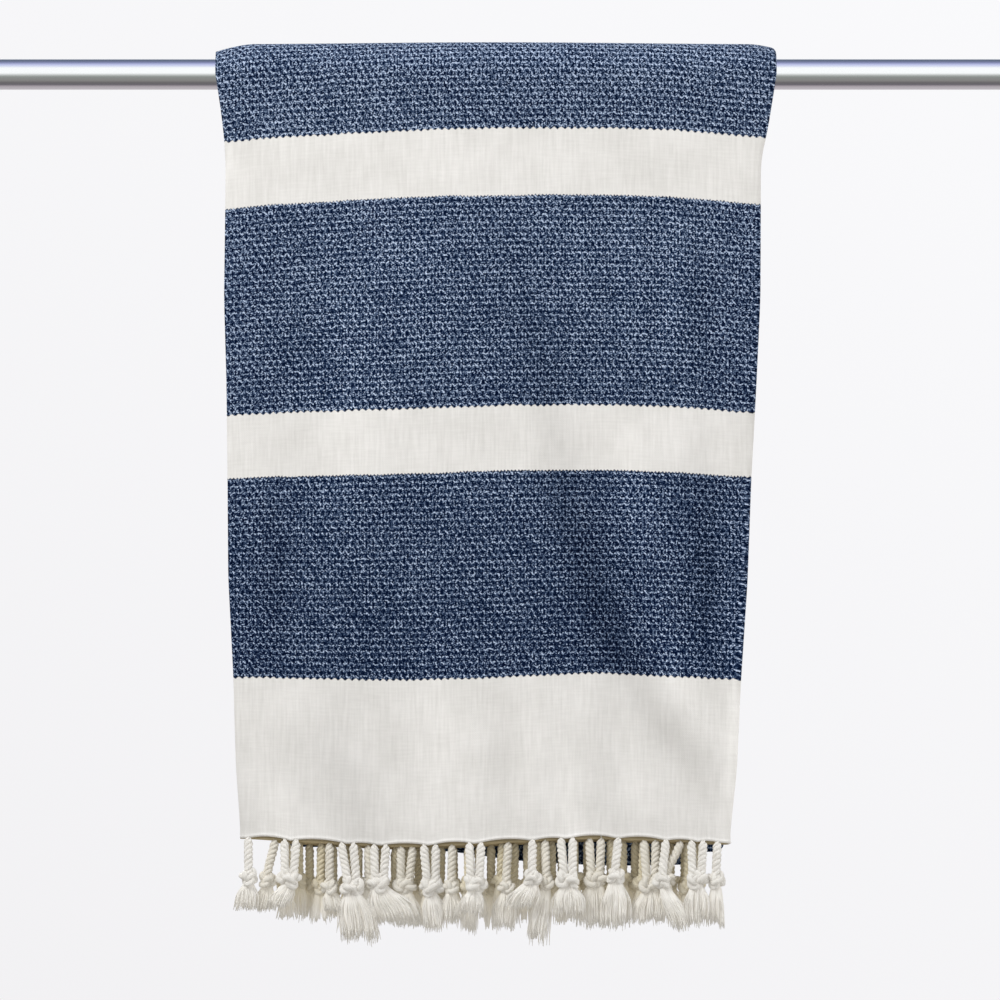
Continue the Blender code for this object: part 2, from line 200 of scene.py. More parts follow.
# Outline in front: drop below the rod's axis, left edge and right edge from the rod's middle
FRONT_EDGES = (
    (0.000, -0.1496, 0.1454),
    (0.014, -0.1475, 0.1433),
    (0.030, -0.1454, 0.1407),
    (0.046, -0.1441, 0.1371),
    (0.080, -0.1444, 0.1370),
    (0.120, -0.1449, 0.1368),
    (0.165, -0.1436, 0.1347),
    (0.215, -0.1430, 0.1320),
    (0.270, -0.1426, 0.1300),
    (0.325, -0.1398, 0.1264),
    (0.370, -0.1386, 0.1244),
    (0.404, -0.1362, 0.1208),
)

# Outline behind
BACK_EDGES = (
    (0.000, -0.1496, 0.1454),
    (0.040, -0.1430, 0.1360),
    (0.110, -0.1424, 0.1350),
    (0.210, -0.1405, 0.1300),
    (0.310, -0.1370, 0.1245),
    (0.404, -0.1335, 0.1185),
)

# How far the front hem hangs below its mean level: place from the rod's middle, drop
HEM_LINE = (
    (-0.136, -0.0026),
    (-0.104, -0.0004),
    (-0.053, 0.0026),
    (-0.015, 0.0010),
    (0.010, -0.0005),
    (0.048, -0.0024),
    (0.074, -0.0013),
    (0.121, 0.0004),
)

# The same for the crosswise fold behind, which hangs askew
BACK_LINE = (
    (-0.134, -0.0090),
    (-0.050, -0.0080),
    (-0.020, -0.0055),
    (0.010, -0.0010),
    (0.060, 0.0015),
    (0.119, 0.0005),
)

# Soft waves of the hanging cloth: place from the rod's middle and share of the drop where each
# stands out most, how far it drifts along the rod down the whole drop, half width, half height
# as a share of the drop, and rise outwards
FRONT_WAVES = (
    (-0.110, 0.62, -0.010, 0.022, 0.30, -0.0020),
    (-0.054, 1.00, 0.010, 0.036, 0.32, -0.0042),
    (0.004, 0.58, 0.020, 0.032, 0.36, 0.0034),
    (0.053, 0.68, 0.060, 0.018, 0.26, -0.0030),
    (0.086, 0.74, 0.070, 0.020, 0.30, 0.0026),
    (0.113, 0.98, 0.000, 0.018, 0.16, -0.0022),
)
BACK_WAVES = (
    (-0.100, 1.00, 0.010, 0.034, 0.45, -0.0020),
    (-0.040, 0.90, -0.015, 0.038, 0.45, 0.0040),
    (0.036, 1.00, 0.020, 0.034, 0.50, -0.0018),
    (0.088, 0.85, 0.010, 0.028, 0.40, 0.0034),
)

# Smaller creases of the front, with the same columns
FRONT_CREASES = (
    (-0.122, 0.98, 0.000, 0.010, 0.10, 0.0012),
    (-0.014, 0.97, 0.015, 0.010, 0.13, 0.0012),
    (0.004, 1.00, 0.005, 0.008, 0.10, -0.0012),
    (0.020, 0.96, 0.000, 0.010, 0.12, 0.0008),
    (0.055, 0.98, 0.010, 0.009, 0.10, -0.0010),
    (0.096, 0.86, 0.190, 0.010, 0.07, 0.0010),
    (0.083, 0.87, 0.210, 0.008, 0.07, -0.0014),
    (0.126, 0.13, 0.020, 0.005, 0.04, -0.0006),
)

# Painted shade and light of the creases on the front: half width of a soft line and its points, each with its
# share of the drop, its place from the rod's middle, and how much paler or darker it paints the loose navy
# weave
CREASE_SHADE_PAINT_LINES = (
    (0.0080, ((0.48, -0.118, 0.00), (0.66, -0.118, -0.30), (0.81, -0.116, 0.00))),
    (0.0180, ((0.15, -0.081, 0.00), (0.40, -0.079, 0.20), (0.68, -0.089, 0.00))),
    (0.0080, ((0.93, -0.121, 0.00), (0.98, -0.116, 0.20), (1.00, -0.115, 0.20))),
    (0.0160, ((0.79, -0.089, 0.00), (0.90, -0.086, -0.32), (1.00, -0.073, -0.25))),
    (0.0070, ((0.89, -0.139, 0.00), (0.94, -0.139, -0.20), (1.00, -0.136, -0.12))),
    (0.0160, ((0.68, -0.031, 0.00), (0.88, -0.029, 0.20), (1.00, -0.027, 0.08))),
    (0.0160, ((0.15, -0.047, 0.00), (0.26, -0.049, 0.14), (0.42, -0.037, 0.00))),
    (0.0060, ((0.84, -0.005, 0.00), (0.90, -0.004, -0.12), (0.97, 0.000, 0.00))),
    (0.0080, ((0.79, 0.016, 0.00), (0.90, 0.016, 0.21), (0.98, 0.011, 0.00))),
    (0.0070, ((0.87, 0.035, 0.00), (0.93, 0.035, 0.20), (1.00, 0.037, 0.20))),
    (0.0125, (
        (0.10, -0.005, 0.00), (0.29, 0.006, -0.11), (0.40, 0.025, -0.24),
        (0.56, 0.034, -0.38), (0.76, 0.059, -0.43), (0.87, 0.087, -0.32), (0.94, 0.111, 0.00),
    )),
    (0.0095, (
        (0.40, 0.059, 0.00), (0.56, 0.071, 0.30), (0.65, 0.076, 0.08),
        (0.76, 0.088, 0.32), (0.87, 0.107, 0.04), (0.91, 0.113, 0.00),
    )),
    (0.0050, ((0.15, 0.040, 0.00), (0.25, 0.040, 0.12), (0.36, 0.043, 0.00))),
    (0.0060, ((0.15, 0.090, 0.00), (0.31, 0.090, 0.24), (0.42, 0.082, 0.00))),
    (0.0060, ((0.15, 0.068, 0.00), (0.29, 0.067, 0.18), (0.36, 0.063, 0.00))),
    (0.0080, (
        (0.22, 0.107, 0.00), (0.31, 0.106, -0.19), (0.42, 0.105, -0.02),
        (0.52, 0.101, -0.17), (0.76, 0.102, 0.00),
    )),
    (0.0070, ((0.46, 0.106, 0.00), (0.54, 0.109, -0.20), (0.68, 0.108, -0.36), (0.77, 0.108, 0.00))),
    (0.0050, ((0.68, 0.124, 0.05), (0.89, 0.123, 0.55), (1.00, 0.122, 0.33))),
    (0.0070, ((0.80, 0.055, -0.09), (1.00, 0.055, -0.09))),
    (0.0070, ((0.85, 0.065, 0.00), (0.94, 0.073, 0.14), (1.00, 0.069, 0.06))),
)

# How much less the stripes rise in front towards the two sides: place, sink of a stripe near the top
SAG_LINE = (
    (-0.150, 0.0110),
    (-0.115, 0.0061),
    (-0.065, 0.0003),
    (-0.045, -0.0011),
    (0.000, 0.0001),
    (0.048, 0.0027),
    (0.085, 0.0016),
    (0.124, 0.0036),
    (0.140, 0.0050),
)
SAG_SHARE = ((0.0, 1.0), (0.2, 1.0), (0.5, 0.78), (0.8, 0.32), (1.0, 0.0))

# The line between the two halves of each panel, from the front one to the one next to the rod: its
# layer, and 1 where the outer half is on its outer side
PANELS = ((4.5, 1.0), (2.5, -1.0), (0.5, 1.0))
FRONT_PANEL_FROM = 3.5  # the layer number from which a place is in the front panel

# A place on the line that runs between the two halves of the doubled cloth, in a level section.
# `woven` is how far the cloth's own first selvedge is.
Spot = namedtuple("Spot", "x layer across outward woven")
# A row of the mesh: angle round the rod, share of the way down a side, turn round the crosswise
# fold, and how far past the foot it lies
Row = namedtuple("Row", "angle share turn below")


def smooth(share):
    """Ease from 0 to 1, level at both ends."""
    share = min(max(share, 0.0), 1.0)
    return share * share * (3.0 - 2.0 * share)


def read_off(table, at, column=1, soften=0.0):
    """A column of a table, read between its rows, with its corners rounded over a length."""
    places = [row[0] for row in table]
    values = [row[column] for row in table]
    around = numpy.linspace(-soften, soften, 5) if soften else 0.0
    return float(numpy.mean(numpy.interp(at + around, places, values)))


@lru_cache(maxsize=None)
def edges_at(in_front, share):
    """Left and right edge of the pile, a share of the way down one side."""
    table = FRONT_EDGES if in_front else BACK_EDGES
    drop = share * table[-1][0]
    soften = min(WORN_EDGE / 2, drop)
    return MIDDLE + read_off(table, drop, 1, soften), MIDDLE + read_off(table, drop, 2, soften)


def pitch_at(x, left, right, share):
    """Distance between the layers."""
    across = min(max((x - left) / (right - left), 0.0), 1.0)
    return PITCH + PITCH_MIDDLE * math.sin(math.pi * across) ** 2 + PITCH_FOOT * smooth(share)


def folds_between(left, right, share):
    """Centres of the left and the right lengthwise fold, and the hidden selvedge."""
    nose = 1.5 * (PITCH + PITCH_FOOT * smooth(share)) + THICKNESS / 2
    return left + INSET_LEFT + nose, right - nose, right - INSET_RIGHT


def fall_at(x, left, right, share):
    """How far the layers sink towards the rod beyond the edges of those under them."""
    left_fold, _, selvedge = folds_between(left, right, share)
    past_left = min(max((left_fold - x) / (left_fold - left), 0.0), 1.0)
    past_right = min(max((x - selvedge) / (right - selvedge), 0.0), 1.0)
    beyond = FALL_LEFT * past_left**DROOP + FALL_RIGHT * past_right**DROOP
    return beyond * (1.0 - smooth(FALL_END * share))


def wave_at(x, in_front, share):
    """How far the soft waves and creases of one side stand out."""
    rise = 0.0
    for at, level, drift, wide, tall, high in FRONT_WAVES + FRONT_CREASES if in_front else BACK_WAVES:
        across = (x - MIDDLE - at - drift * (share - level)) / wide
        rise += high * math.exp(-(across**2) - ((share - level) / tall) ** 2)
    return rise * smooth(WAVE_START * share)


def painted_crease_shade_at(row, spot):
    """Painted shade and light of the creases at a place of the outermost panel in front."""
    if row.angle > 0.0 or row.turn > 0.0 or spot.layer < FRONT_PANEL_FROM:
        return 0.0
    along, down = spot.x - MIDDLE, row.share
    painted_crease_shade = 0.0
    for wide, line in CREASE_SHADE_PAINT_LINES:
        if line[0][0] <= down <= line[-1][0]:
            off = (along - read_off(line, down)) / wide
            painted_crease_shade += read_off(line, down, 2) * math.exp(-off * off)
    return painted_crease_shade


def side_length(x, layer, in_front):
    """From the rod's axis to where the edge band starts, or to the crosswise fold."""
    within = LAYERS - 1 - layer
    if in_front:
        hem = HEM_DROP + read_off(HEM_LINE, x - MIDDLE, soften=WORN_EDGE) + within * HEM_STEP
        return hem - EDGE_BAND
    return BACK_DROP + read_off(BACK_LINE, x - MIDDLE, soften=WORN_EDGE) + within * BACK_STEP


def place(spot, offset, row):
    """A point `offset` out from the line between the two halves of the cloth."""
    in_front = row.angle < math.pi / 2
    left, right = edges_at(in_front, row.share)
    x = spot.x + offset * spot.across
    pitch = pitch_at(x, left, right, row.share)
    layer = spot.layer + offset * spot.outward / pitch
    reach = ROD_RADIUS + SEAT_GAP + THICKNESS / 2 + layer * pitch - fall_at(x, left, right, row.share)
    y = -math.cos(row.angle) * (reach + wave_at(x, in_front, row.share))
    z = math.sin(row.angle) * reach - row.share * side_length(x, layer, in_front) - row.below
    return x, y, z


# The flat width is that of the three panels where the pile is widest, and of the turns between them
TOP_LEFT, TOP_RIGHT = edges_at(True, 0.0)


def cloth_line(in_front, share):
    """The back-and-forth line between the two halves, from the left edge in front to the hidden
    selvedge next to the rod, with the mesh's own columns."""
    left, right = edges_at(in_front, share)
    left_fold, right_fold, selvedge = folds_between(left, right, share)
    radius = PITCH + PITCH_FOOT * smooth(share)
    curl = numpy.linspace(left, left_fold, CURL_COLUMNS, endpoint=False)
    columns = (
        [*curl, *numpy.linspace(left_fold, right_fold, PANEL_COLUMNS)],
        numpy.linspace(right_fold, left_fold, HIDDEN_COLUMNS),
        numpy.linspace(left_fold, selvedge, HIDDEN_COLUMNS),
    )
    line, woven = [], left - TOP_LEFT
    for (layer, outward), places, fold in zip(PANELS, columns, (right_fold, left_fold, None)):
        line += [Spot(x, layer, 0.0, outward, woven + abs(x - places[0])) for x in places]
        if fold is None:
            return line
        woven = line[-1].woven
        for step in range(1, TURN_STEPS):
            angle = math.pi / 2 - math.pi * step / TURN_STEPS
            out, up = math.cos(angle), math.sin(angle)
            turned = woven + TURN_WOVEN * step / TURN_STEPS
            line.append(Spot(fold + outward * radius * out, layer - 1.0 + up, out, outward * up, turned))
        woven += TURN_WOVEN


def cloth_rows():
    """Rows from one fringed end to the other: up the front, over the rod, down the back, round the
    crosswise fold, and the same way back inside."""
    def side(front_steps, back_steps):
        rows = [Row(0.0, 1.0, 0.0, step * EDGE_BAND) for step in reversed(EDGE_STEPS)]
        rows += [Row(0.0, share, 0.0, 0.0) for share in numpy.linspace(1.0, 0.0, front_steps)]
        rows += [Row(math.pi * step / OVER_STEPS, 0.0, 0.0, 0.0) for step in range(1, OVER_STEPS)]
        return rows + [Row(math.pi, share, 0.0, 0.0) for share in numpy.linspace(0.0, 1.0, back_steps)]

    fold = [Row(math.pi, 1.0, math.pi * step / FOOT_STEPS, 0.0) for step in range(1, FOOT_STEPS)]
    inside = [row._replace(turn=math.pi) for row in reversed(side(HIDDEN_FRONT_STEPS, HIDDEN_BACK_STEPS))]
    return side(FRONT_STEPS, BACK_STEPS) + fold + inside


def edge_thickness(row):
    """How thick the cloth is: even, but rolled and then rounded off at its short edge."""
    if row.below == 0.0 or row.angle > 0.0:
        return THICKNESS
    near = row.below / EDGE_BAND
    roll = THICKNESS + (HEM_ROLL - THICKNESS) * smooth((near - ROLL_FROM) / ROLL_OVER)
    return roll * math.sqrt(max(1.0 - max((near - ROUND_FROM) / ROUND_OVER, 0.0) ** 2, ROUND_END))


# Roots of the cords that show in front, from the rod's middle: the edge is lowest at each of them
FRONT_ROOTS = (
    -0.1320, -0.1100, -0.0800, -0.0630, -0.0370, -0.0130, 0.0170, 0.0350, 0.0620, 0.0870, 0.1035, 0.1150,
)
ROOT_SPACE = 0.024      # roots at least this far apart have the full rise between them


def hem_lift(spot, row):
    """How far the front edge rises between the cords of the outermost layer."""
    if row.angle > 0.0 or spot.layer != PANELS[0][0] or row.turn > 0.0:
        return 0.0
    along = spot.x - MIDDLE
    before = max([root for root in FRONT_ROOTS if root <= along], default=None)
    after = min([root for root in FRONT_ROOTS if root > along], default=None)
    if before is None or after is None:
        return 0.0
    arch = math.sin(math.pi * (along - before) / (after - before)) ** 0.7
    up = (1.0 - row.share) * HEM_DROP + EDGE_BAND - row.below
    size = min((after - before) / ROOT_SPACE, 1.0)
    return HEM_LIFT * size * arch * smooth(1.0 - up / LIFT_REACH)


def cloth_point(row, spot, face):
    """A point on the outer face (+1) or the inner face (-1) of the cloth."""
    left, right = edges_at(row.angle < math.pi / 2, row.share)
    radius = pitch_at(spot.x, left, right, row.share) / 2 + face * edge_thickness(row) / 2
    below = row.below + radius * math.sin(row.turn) - hem_lift(spot, row)
    return place(spot, radius * math.cos(row.turn), row._replace(below=below))


def from_hem(row, spot):
    """How far a point is along the cloth from the hem of its own end."""
    in_front = row.angle < math.pi / 2
    front = HEM_DROP + read_off(HEM_LINE, spot.x - MIDDLE, soften=WORN_EDGE)
    sag = read_off(SAG_LINE, spot.x - MIDDLE, soften=WORN_EDGE)
    if in_front:
        drop = row.share * (front - EDGE_BAND) + row.below
        return front - drop + sag * read_off(SAG_SHARE, row.share) + row.angle * OVER_RADIUS
    top = front + sag * (1.0 - smooth((row.angle / math.pi - 0.5) * 2.0)) + row.angle * OVER_RADIUS
    fold = (math.pi / 2 - abs(row.turn - math.pi / 2)) * PITCH
    return top + row.share * side_length(spot.x, LAYERS - 1, False) + (fold if row.share == 1.0 else 0.0)


def add_mesh(name, points, faces, places, marks):
    """A new object of a mesh. `places` gives each face corner its place in the weave's map, and
    `marks` gives each point a number under each of its names."""
    data = bpy.data.meshes.new(name)
    data.from_pydata(points, [], faces)
    layer = data.uv_layers.new(name="weave")
    layer.data.foreach_set("uv", numpy.asarray(places, dtype=numpy.float32).ravel())
    for mark, values in marks.items():
        attribute = data.attributes.new(mark, "FLOAT", "POINT")
        attribute.data.foreach_set("value", numpy.asarray(values, dtype=numpy.float32))
    data.update()
    data.shade_smooth()
    item = bpy.data.objects.new(name, data)
    bpy.context.scene.collection.objects.link(item)
    return item


def build_cloth():
    """The whole cloth as one folded sheet with an outer and an inner face, closed at its rim."""
    rows = cloth_rows()
    line_of = lru_cache(maxsize=None)(cloth_line)
    grid = [[(row, spot) for spot in line_of(row.angle < math.pi / 2, row.share)] for row in rows]
    wide, tall = len(grid[0]), len(rows)
    half = wide * tall
    every = [(row, spot) for line in grid for row, spot in line]
    points = [cloth_point(row, spot, face) for face in (1, -1) for row, spot in every]
    woven = [(spot.woven, from_hem(row, spot)) for row, spot in every]
    faces, places = [], []
    for row in range(tall - 1):
        for column in range(wide - 1):
            a = row * wide + column
            corners = (a, a + 1, a + 1 + wide, a + wide)
            faces += [corners[::-1], tuple(half + corner for corner in corners)]
            spots = [woven[corner] for corner in corners]
            places += [*spots[::-1], *spots]
    rim = list(range(wide))
    rim += [row * wide + wide - 1 for row in range(1, tall)]
    rim += [(tall - 1) * wide + column for column in range(wide - 2, -1, -1)]
    rim += [row * wide for row in range(tall - 2, 0, -1)]
    for here, after in zip(rim, rim[1:] + rim[:1]):
        faces.append((here, after, after + half, here + half))
        places += [woven[corner] for corner in (here, after, after, here)]
    painted_crease_shades = [painted_crease_shade_at(row, spot) for row, spot in every]
    inner = [1.0 if row.turn > 1.0 or spot.layer < FRONT_PANEL_FROM else 0.0 for row, spot in every]
    return add_mesh("towel_cloth", points, faces, places, {"painted_crease_shade": 2 * painted_crease_shades, "inner": 2 * inner})


deselect()
towel = build_cloth()

# Cotton, yarn-dyed and woven: white stripes in plain weave and navy ones in a looser honeycomb weave,
# whose pale weft runs in wavy lines round rows of dark dimples. Dull, with a faint bloom of fibre.
CELL = 0.00360          # from one dimple to the next across the cloth
ROW_STEP = 0.00328      # from one row of dimples to the next
CREST = 0.17            # how far the pale lines wave, as a share of a row
WHITE_THREAD = 0.0011   # the plain weave's thread spacing, drawn twice as coarse so that it shows
BORDERS = (             # lower and upper edge of each navy stripe, from the hem of its end
    (0.0872, 0.1952),
    (0.2294, 0.3400),
    (0.3752, 0.4832),
    (0.5184, 0.6264),
    (0.6616, 0.7696),
    (0.8048, 0.9500),
)
BORDER_BLUR = 0.00030
TOOTH = 0.0010          # how far the last dimples of a navy stripe reach into the white
FINE_TOOTH = 0.0006
GRAIN = 0.0008          # the size of the smallest specks of pale and dark yarn
LOOSENESS = 0.0018      # how far the weave wanders
LINE_SHARP = 60.0       # how sharply a pale line ends
FLOAT_MEAN, FLOAT_UNDER, FLOAT_VARY = 0.36, 0.48, 0.75    # paleness: every second one lies lower
FLOAT_BULGE = 0.65      # how much paler a float's middle is than its ends
OVAL_TALL, OVAL_WIDE, FAINT_WIDE = 3.1, 6.8, 7.2    # how narrow the dimples are, up and across
OVAL_RISE, OVAL_SHIFT = 0.10, -0.40     # how far they sit off the middles of their cells
FAINT_AT, FAINT_DEPTH = 0.46, 0.20      # where in a cell the faint dimples are, and how dark
PALE_LIFT, DIMPLE_DEPTH, MEAN_LEVEL = 0.70, 0.70, 0.42
CLOUD_SHARE, FIBRE_SHARE, GRAIN_SHARE, SHADE_SHIFT = 0.20, 2.90, 0.45, -1.81
HEM_SHADE = (0.030, 0.006)      # from the hem: where the inner layers' warm shade starts and is full
FOLD_SHADE = (0.820, 0.850)     # where the painted shade inside the crosswise fold starts and is full
FOLD_DARKENS = 0.55
PAINTED_TOP_LIGHT = (0.08, 0.42, -0.05, 0.10)      # from the hem: where painted light from above starts to pale the navy yarn, and by how much
WHITE_YARN = ("DBD9D4", "F2F0EC")       # between slubs, and on them
WHITE_IN_SHADE = "B5A685"
SLUB_RANGE = (0.45, 0.90)               # where the white starts to pale, and where it is palest
WARP_SLUBS, WEFT_SLUBS = (700.0, 50.0, 1.0), (90.0, 900.0, 1.0)     # in a metre, across and along
PUCKERS = (420.0, 90.0, 1.0)
WARP_SHARE, WEFT_SHARE, SOFT_SHARE = 0.55, 0.25, 0.6    # of the slubs and the soft clouds in white
THREAD_RELIEF, SLUB_RELIEF, PUCKER_RELIEF = 0.08, 0.55, 1.8
PUCKER_HEIGHT = 0.012           # how far up the warp draws together over the fringe
WHITE_PAINTED_SHADE_SHARE, NAVY_PAINTED_SHADE_SHARES = 0.33, (1.0, 0.93, 0.84)   # how much of the creases' painted shade each weave is given
EASED = {"interpolation_type": "SMOOTHSTEP"}
NAVY_YARN = (           # from the bottom of a dimple to the top of a pale float
    (0.00, "000C26"),
    (0.22, "132341"),
    (0.45, "394B67"),
    (0.66, "6A7B95"),
    (1.00, "C2D1E9"),
)


def sums(tree, *parts):
    """A sum of (socket or node, factor) pairs and plain numbers."""
    total = sum(part for part in parts if not isinstance(part, tuple))
    for socket, factor in [part for part in parts if isinstance(part, tuple)]:
        total = node(tree, "Math", [socket, factor, total], operation="MULTIPLY_ADD")
    return total


def streaks(tree, place, per_metre, detail):
    """Stretched noise. `per_metre` is how many spots it has in a metre of each axis."""
    scaled = node(tree, "Mapping", {"Vector": place, "Scale": per_metre})
    return node(tree, "TexNoise", {"Vector": scaled, "Scale": 1.0, "Detail": detail})


def fill_ramp(ramp, stops, low=0.0, high=1.0):
    """Set a colour ramp's stops, given on a scale from low to high."""
    ramp.elements[0].position, ramp.elements[0].color = 0.0, linear(stops[0][1])
    ramp.elements[1].position, ramp.elements[1].color = 1.0, linear(stops[-1][1])
    for at, code in stops[1:-1]:
        ramp.elements.new((at - low) / (high - low)).color = linear(code)


cotton, tree = new_material("Woven cotton, navy and white stripes")
weave = node(tree, "UVMap", uv_map="weave")
wander = node(tree, "TexNoise", {"Vector": weave, "Scale": 55.0, "Detail": 3.0})
shift = node(tree, "VectorMath", [wander.outputs["Color"], (0.5, 0.5, 0.5)], operation="SUBTRACT")
nudge = node(tree, "VectorMath", {0: shift, "Scale": LOOSENESS}, operation="SCALE")
loose = node(tree, "VectorMath", [weave, nudge], operation="ADD")
split = node(tree, "SeparateXYZ", [loose])
across, length = split.outputs[0], split.outputs[1]

# Which row of dimples a point is in, counted in each stripe from its lower border
started = 0.0
for (low, _), before in zip(BORDERS, (0.0, *[low for low, _ in BORDERS])):
    past = node(tree, "Math", [length, low - TOOTH], operation="GREATER_THAN")
    earlier = [(started, 1.0)] if started else []
    started = sums(tree, (past, low - before), *earlier)
into = node(tree, "Math", [length, started], operation="SUBTRACT")
rows_in = node(tree, "Math", [into, ROW_STEP], operation="DIVIDE")
row_number = node(tree, "Math", [rows_in], operation="ROUND")
up = node(tree, "Math", [rows_in, row_number], operation="SUBTRACT")
odd = node(tree, "Math", [row_number, 2.0], operation="FLOORED_MODULO")
cells = sums(tree, (across, 1 / CELL), (odd, 0.5))
cell_number = node(tree, "Math", [cells], operation="ROUND")
aside = node(tree, "Math", [cells, cell_number], operation="SUBTRACT")

# The pale weft: a wavy line between two rows, made of floats that slant down to the right and up to
# the right in turn. The first ones lie on top and are paler, and every float differs a little.
line_number = node(tree, "Math", [rows_in], operation="FLOOR")
line_odd = node(tree, "Math", [line_number, 2.0], operation="FLOORED_MODULO")
floats_along = sums(tree, (across, 2 / CELL), (line_odd, 1.0))
float_number = node(tree, "Math", [floats_along], operation="FLOOR")
rising = node(tree, "Math", [float_number, 2.0], operation="FLOORED_MODULO")
within = node(tree, "Math", [floats_along, float_number], operation="SUBTRACT")
half_turn = node(tree, "Math", [within, math.pi], operation="MULTIPLY")
arch = node(tree, "Math", [half_turn], operation="SINE")
which_float = node(tree, "CombineXYZ", [float_number, line_number])
lot = node(tree, "TexWhiteNoise", {"Vector": which_float}, noise_dimensions="2D")
round_cell = node(tree, "Math", [aside, math.tau], operation="MULTIPLY")
swing = node(tree, "Math", [round_cell], operation="COSINE")
height = node(tree, "Math", [up], operation="ABSOLUTE")
off_line = sums(tree, (swing, -CREST), (height, 1.0), -0.5)
off_square = node(tree, "Math", [off_line, off_line], operation="MULTIPLY")
line = node(tree, "Math", [sums(tree, (off_square, -LINE_SHARP))], operation="EXPONENT")
lie = sums(tree, (rising, -FLOAT_UNDER), (lot.outputs["Value"], FLOAT_VARY), FLOAT_MEAN)
bulge = sums(tree, (arch, FLOAT_BULGE), 1.0 - FLOAT_BULGE)
strength = node(tree, "Math", [lie, bulge], operation="MULTIPLY")
pale = node(tree, "Math", [line, strength], operation="MULTIPLY")

# The dark dimples: a narrow upright oval in each cell, and a fainter one half a cell on
up_scaled = sums(tree, (up, OVAL_TALL), OVAL_RISE)
up_square = node(tree, "Math", [up_scaled, up_scaled], operation="MULTIPLY")
off_cell = node(tree, "Math", [aside], operation="ABSOLUTE")
beside = node(tree, "Math", [off_cell, FAINT_AT], operation="SUBTRACT")
ovals = []
for off_middle in (sums(tree, (aside, OVAL_WIDE), OVAL_SHIFT), sums(tree, (beside, FAINT_WIDE))):
    oval = node(tree, "Math", [off_middle, off_middle, up_square], operation="MULTIPLY_ADD")
    ovals.append(node(tree, "Math", [sums(tree, (oval, -1.0))], operation="EXPONENT"))
dimple = sums(tree, (ovals[0], 1.0), (ovals[1], FAINT_DEPTH))

# How the yarn varies: from fibre to fibre, in broad clouds, and paler towards the rod, where light from above
# is painted in
fibres = node(tree, "TexNoise", {"Vector": weave, "Scale": 1150.0, "Detail": 1.0, "Roughness": 0.8})
speck = node(tree, "VectorMath", [weave, (GRAIN, GRAIN, 1.0)], operation="SNAP")
grains = node(tree, "TexWhiteNoise", {"Vector": speck})
clouds = node(tree, "TexNoise", {"Vector": weave, "Scale": 30.0, "Detail": 4.0})
painted_top_light = node(tree, "MapRange", [length, *PAINTED_TOP_LIGHT])
level = sums(tree, (pale, PALE_LIFT), (dimple, -DIMPLE_DEPTH), MEAN_LEVEL)
yarns_vary = (clouds, CLOUD_SHARE), (fibres, FIBRE_SHARE), (grains.outputs["Value"], GRAIN_SHARE)
shade = sums(tree, (level, 1.0), (painted_top_light, 1.0), *yarns_vary, SHADE_SHIFT)
navy = node(tree, "ValToRGB", [shade])
fill_ramp(navy.color_ramp, NAVY_YARN)

# White: faint slubs along the warp and the weft, and soft clouds
warp_slubs = streaks(tree, weave, WARP_SLUBS, 3.0)
weft_slubs = streaks(tree, weave, WEFT_SLUBS, 3.0)
slubs = sums(tree, (warp_slubs, WARP_SHARE), (weft_slubs, WEFT_SHARE), (clouds, SOFT_SHARE))
slub_share = node(tree, "MapRange", [slubs, *SLUB_RANGE])
dull, bright = [linear(code) for code in WHITE_YARN]
white = node(tree, "Mix", {0: slub_share, 6: dull, 7: bright}, data_type="RGBA")

# The stripes, whose lower borders end in dark teeth and whose upper ones in finer, softer ones
toothed = sums(tree, (swing, TOOTH / 2), (fibres, TOOTH), (length, 1.0), -TOOTH / 2)
fine_round = node(tree, "Math", [across, 2 * math.tau / CELL], operation="MULTIPLY")
fine_swing = node(tree, "Math", [fine_round], operation="COSINE")
fine_toothed = sums(tree, (fine_swing, FINE_TOOTH / 2), (fibres, FINE_TOOTH * 2), (length, 1.0), -FINE_TOOTH)
stripes = 0.0
for low, high in BORDERS:
    above = node(tree, "MapRange", [toothed, low - BORDER_BLUR, low + BORDER_BLUR], **EASED)
    under = node(tree, "MapRange", [fine_toothed, high + BORDER_BLUR, high - BORDER_BLUR], **EASED)
    stripes = node(tree, "Math", [above, under, stripes], operation="MULTIPLY_ADD")

# Painted shade and light: the creases' painted shade is stronger on the loose navy weave than on the white.
# The rolled edges of the inner layers are painted in the warm shade of the pile.
painted_crease_shade = node(tree, "Attribute", attribute_name="painted_crease_shade").outputs["Fac"]
inner = node(tree, "Attribute", attribute_name="inner").outputs["Fac"]
at_edge = node(tree, "MapRange", [length, *HEM_SHADE], **EASED)
in_shade = node(tree, "Math", [inner, at_edge], operation="MULTIPLY")
warm = node(tree, "Mix", {0: in_shade, 6: white.outputs[2], 7: linear(WHITE_IN_SHADE)}, data_type="RGBA")
white_painted_shade_gain = sums(tree, (painted_crease_shade, WHITE_PAINTED_SHADE_SHARE), 1.0)
# Painted shade: the navy inside the crosswise fold is darkened, where it hangs in the pile's shade
at_fold = node(tree, "MapRange", [length, *FOLD_SHADE], **EASED)
in_fold = node(tree, "Math", [inner, at_fold], operation="MULTIPLY")
navy_painted_shade = sums(tree, (painted_crease_shade, 1.0), (in_fold, -FOLD_DARKENS))
navy_painted_shade_gain = node(tree, "CombineXYZ", [sums(tree, (navy_painted_shade, part), 1.0) for part in NAVY_PAINTED_SHADE_SHARES])
white_with_painted_shade = node(tree, "VectorMath", {0: warm.outputs[2], "Scale": white_painted_shade_gain}, operation="SCALE")
navy_with_painted_shade = node(tree, "VectorMath", [navy, navy_painted_shade_gain], operation="MULTIPLY")
dyed = node(tree, "Mix", {0: stripes, 6: white_with_painted_shade, 7: navy_with_painted_shade}, data_type="RGBA")

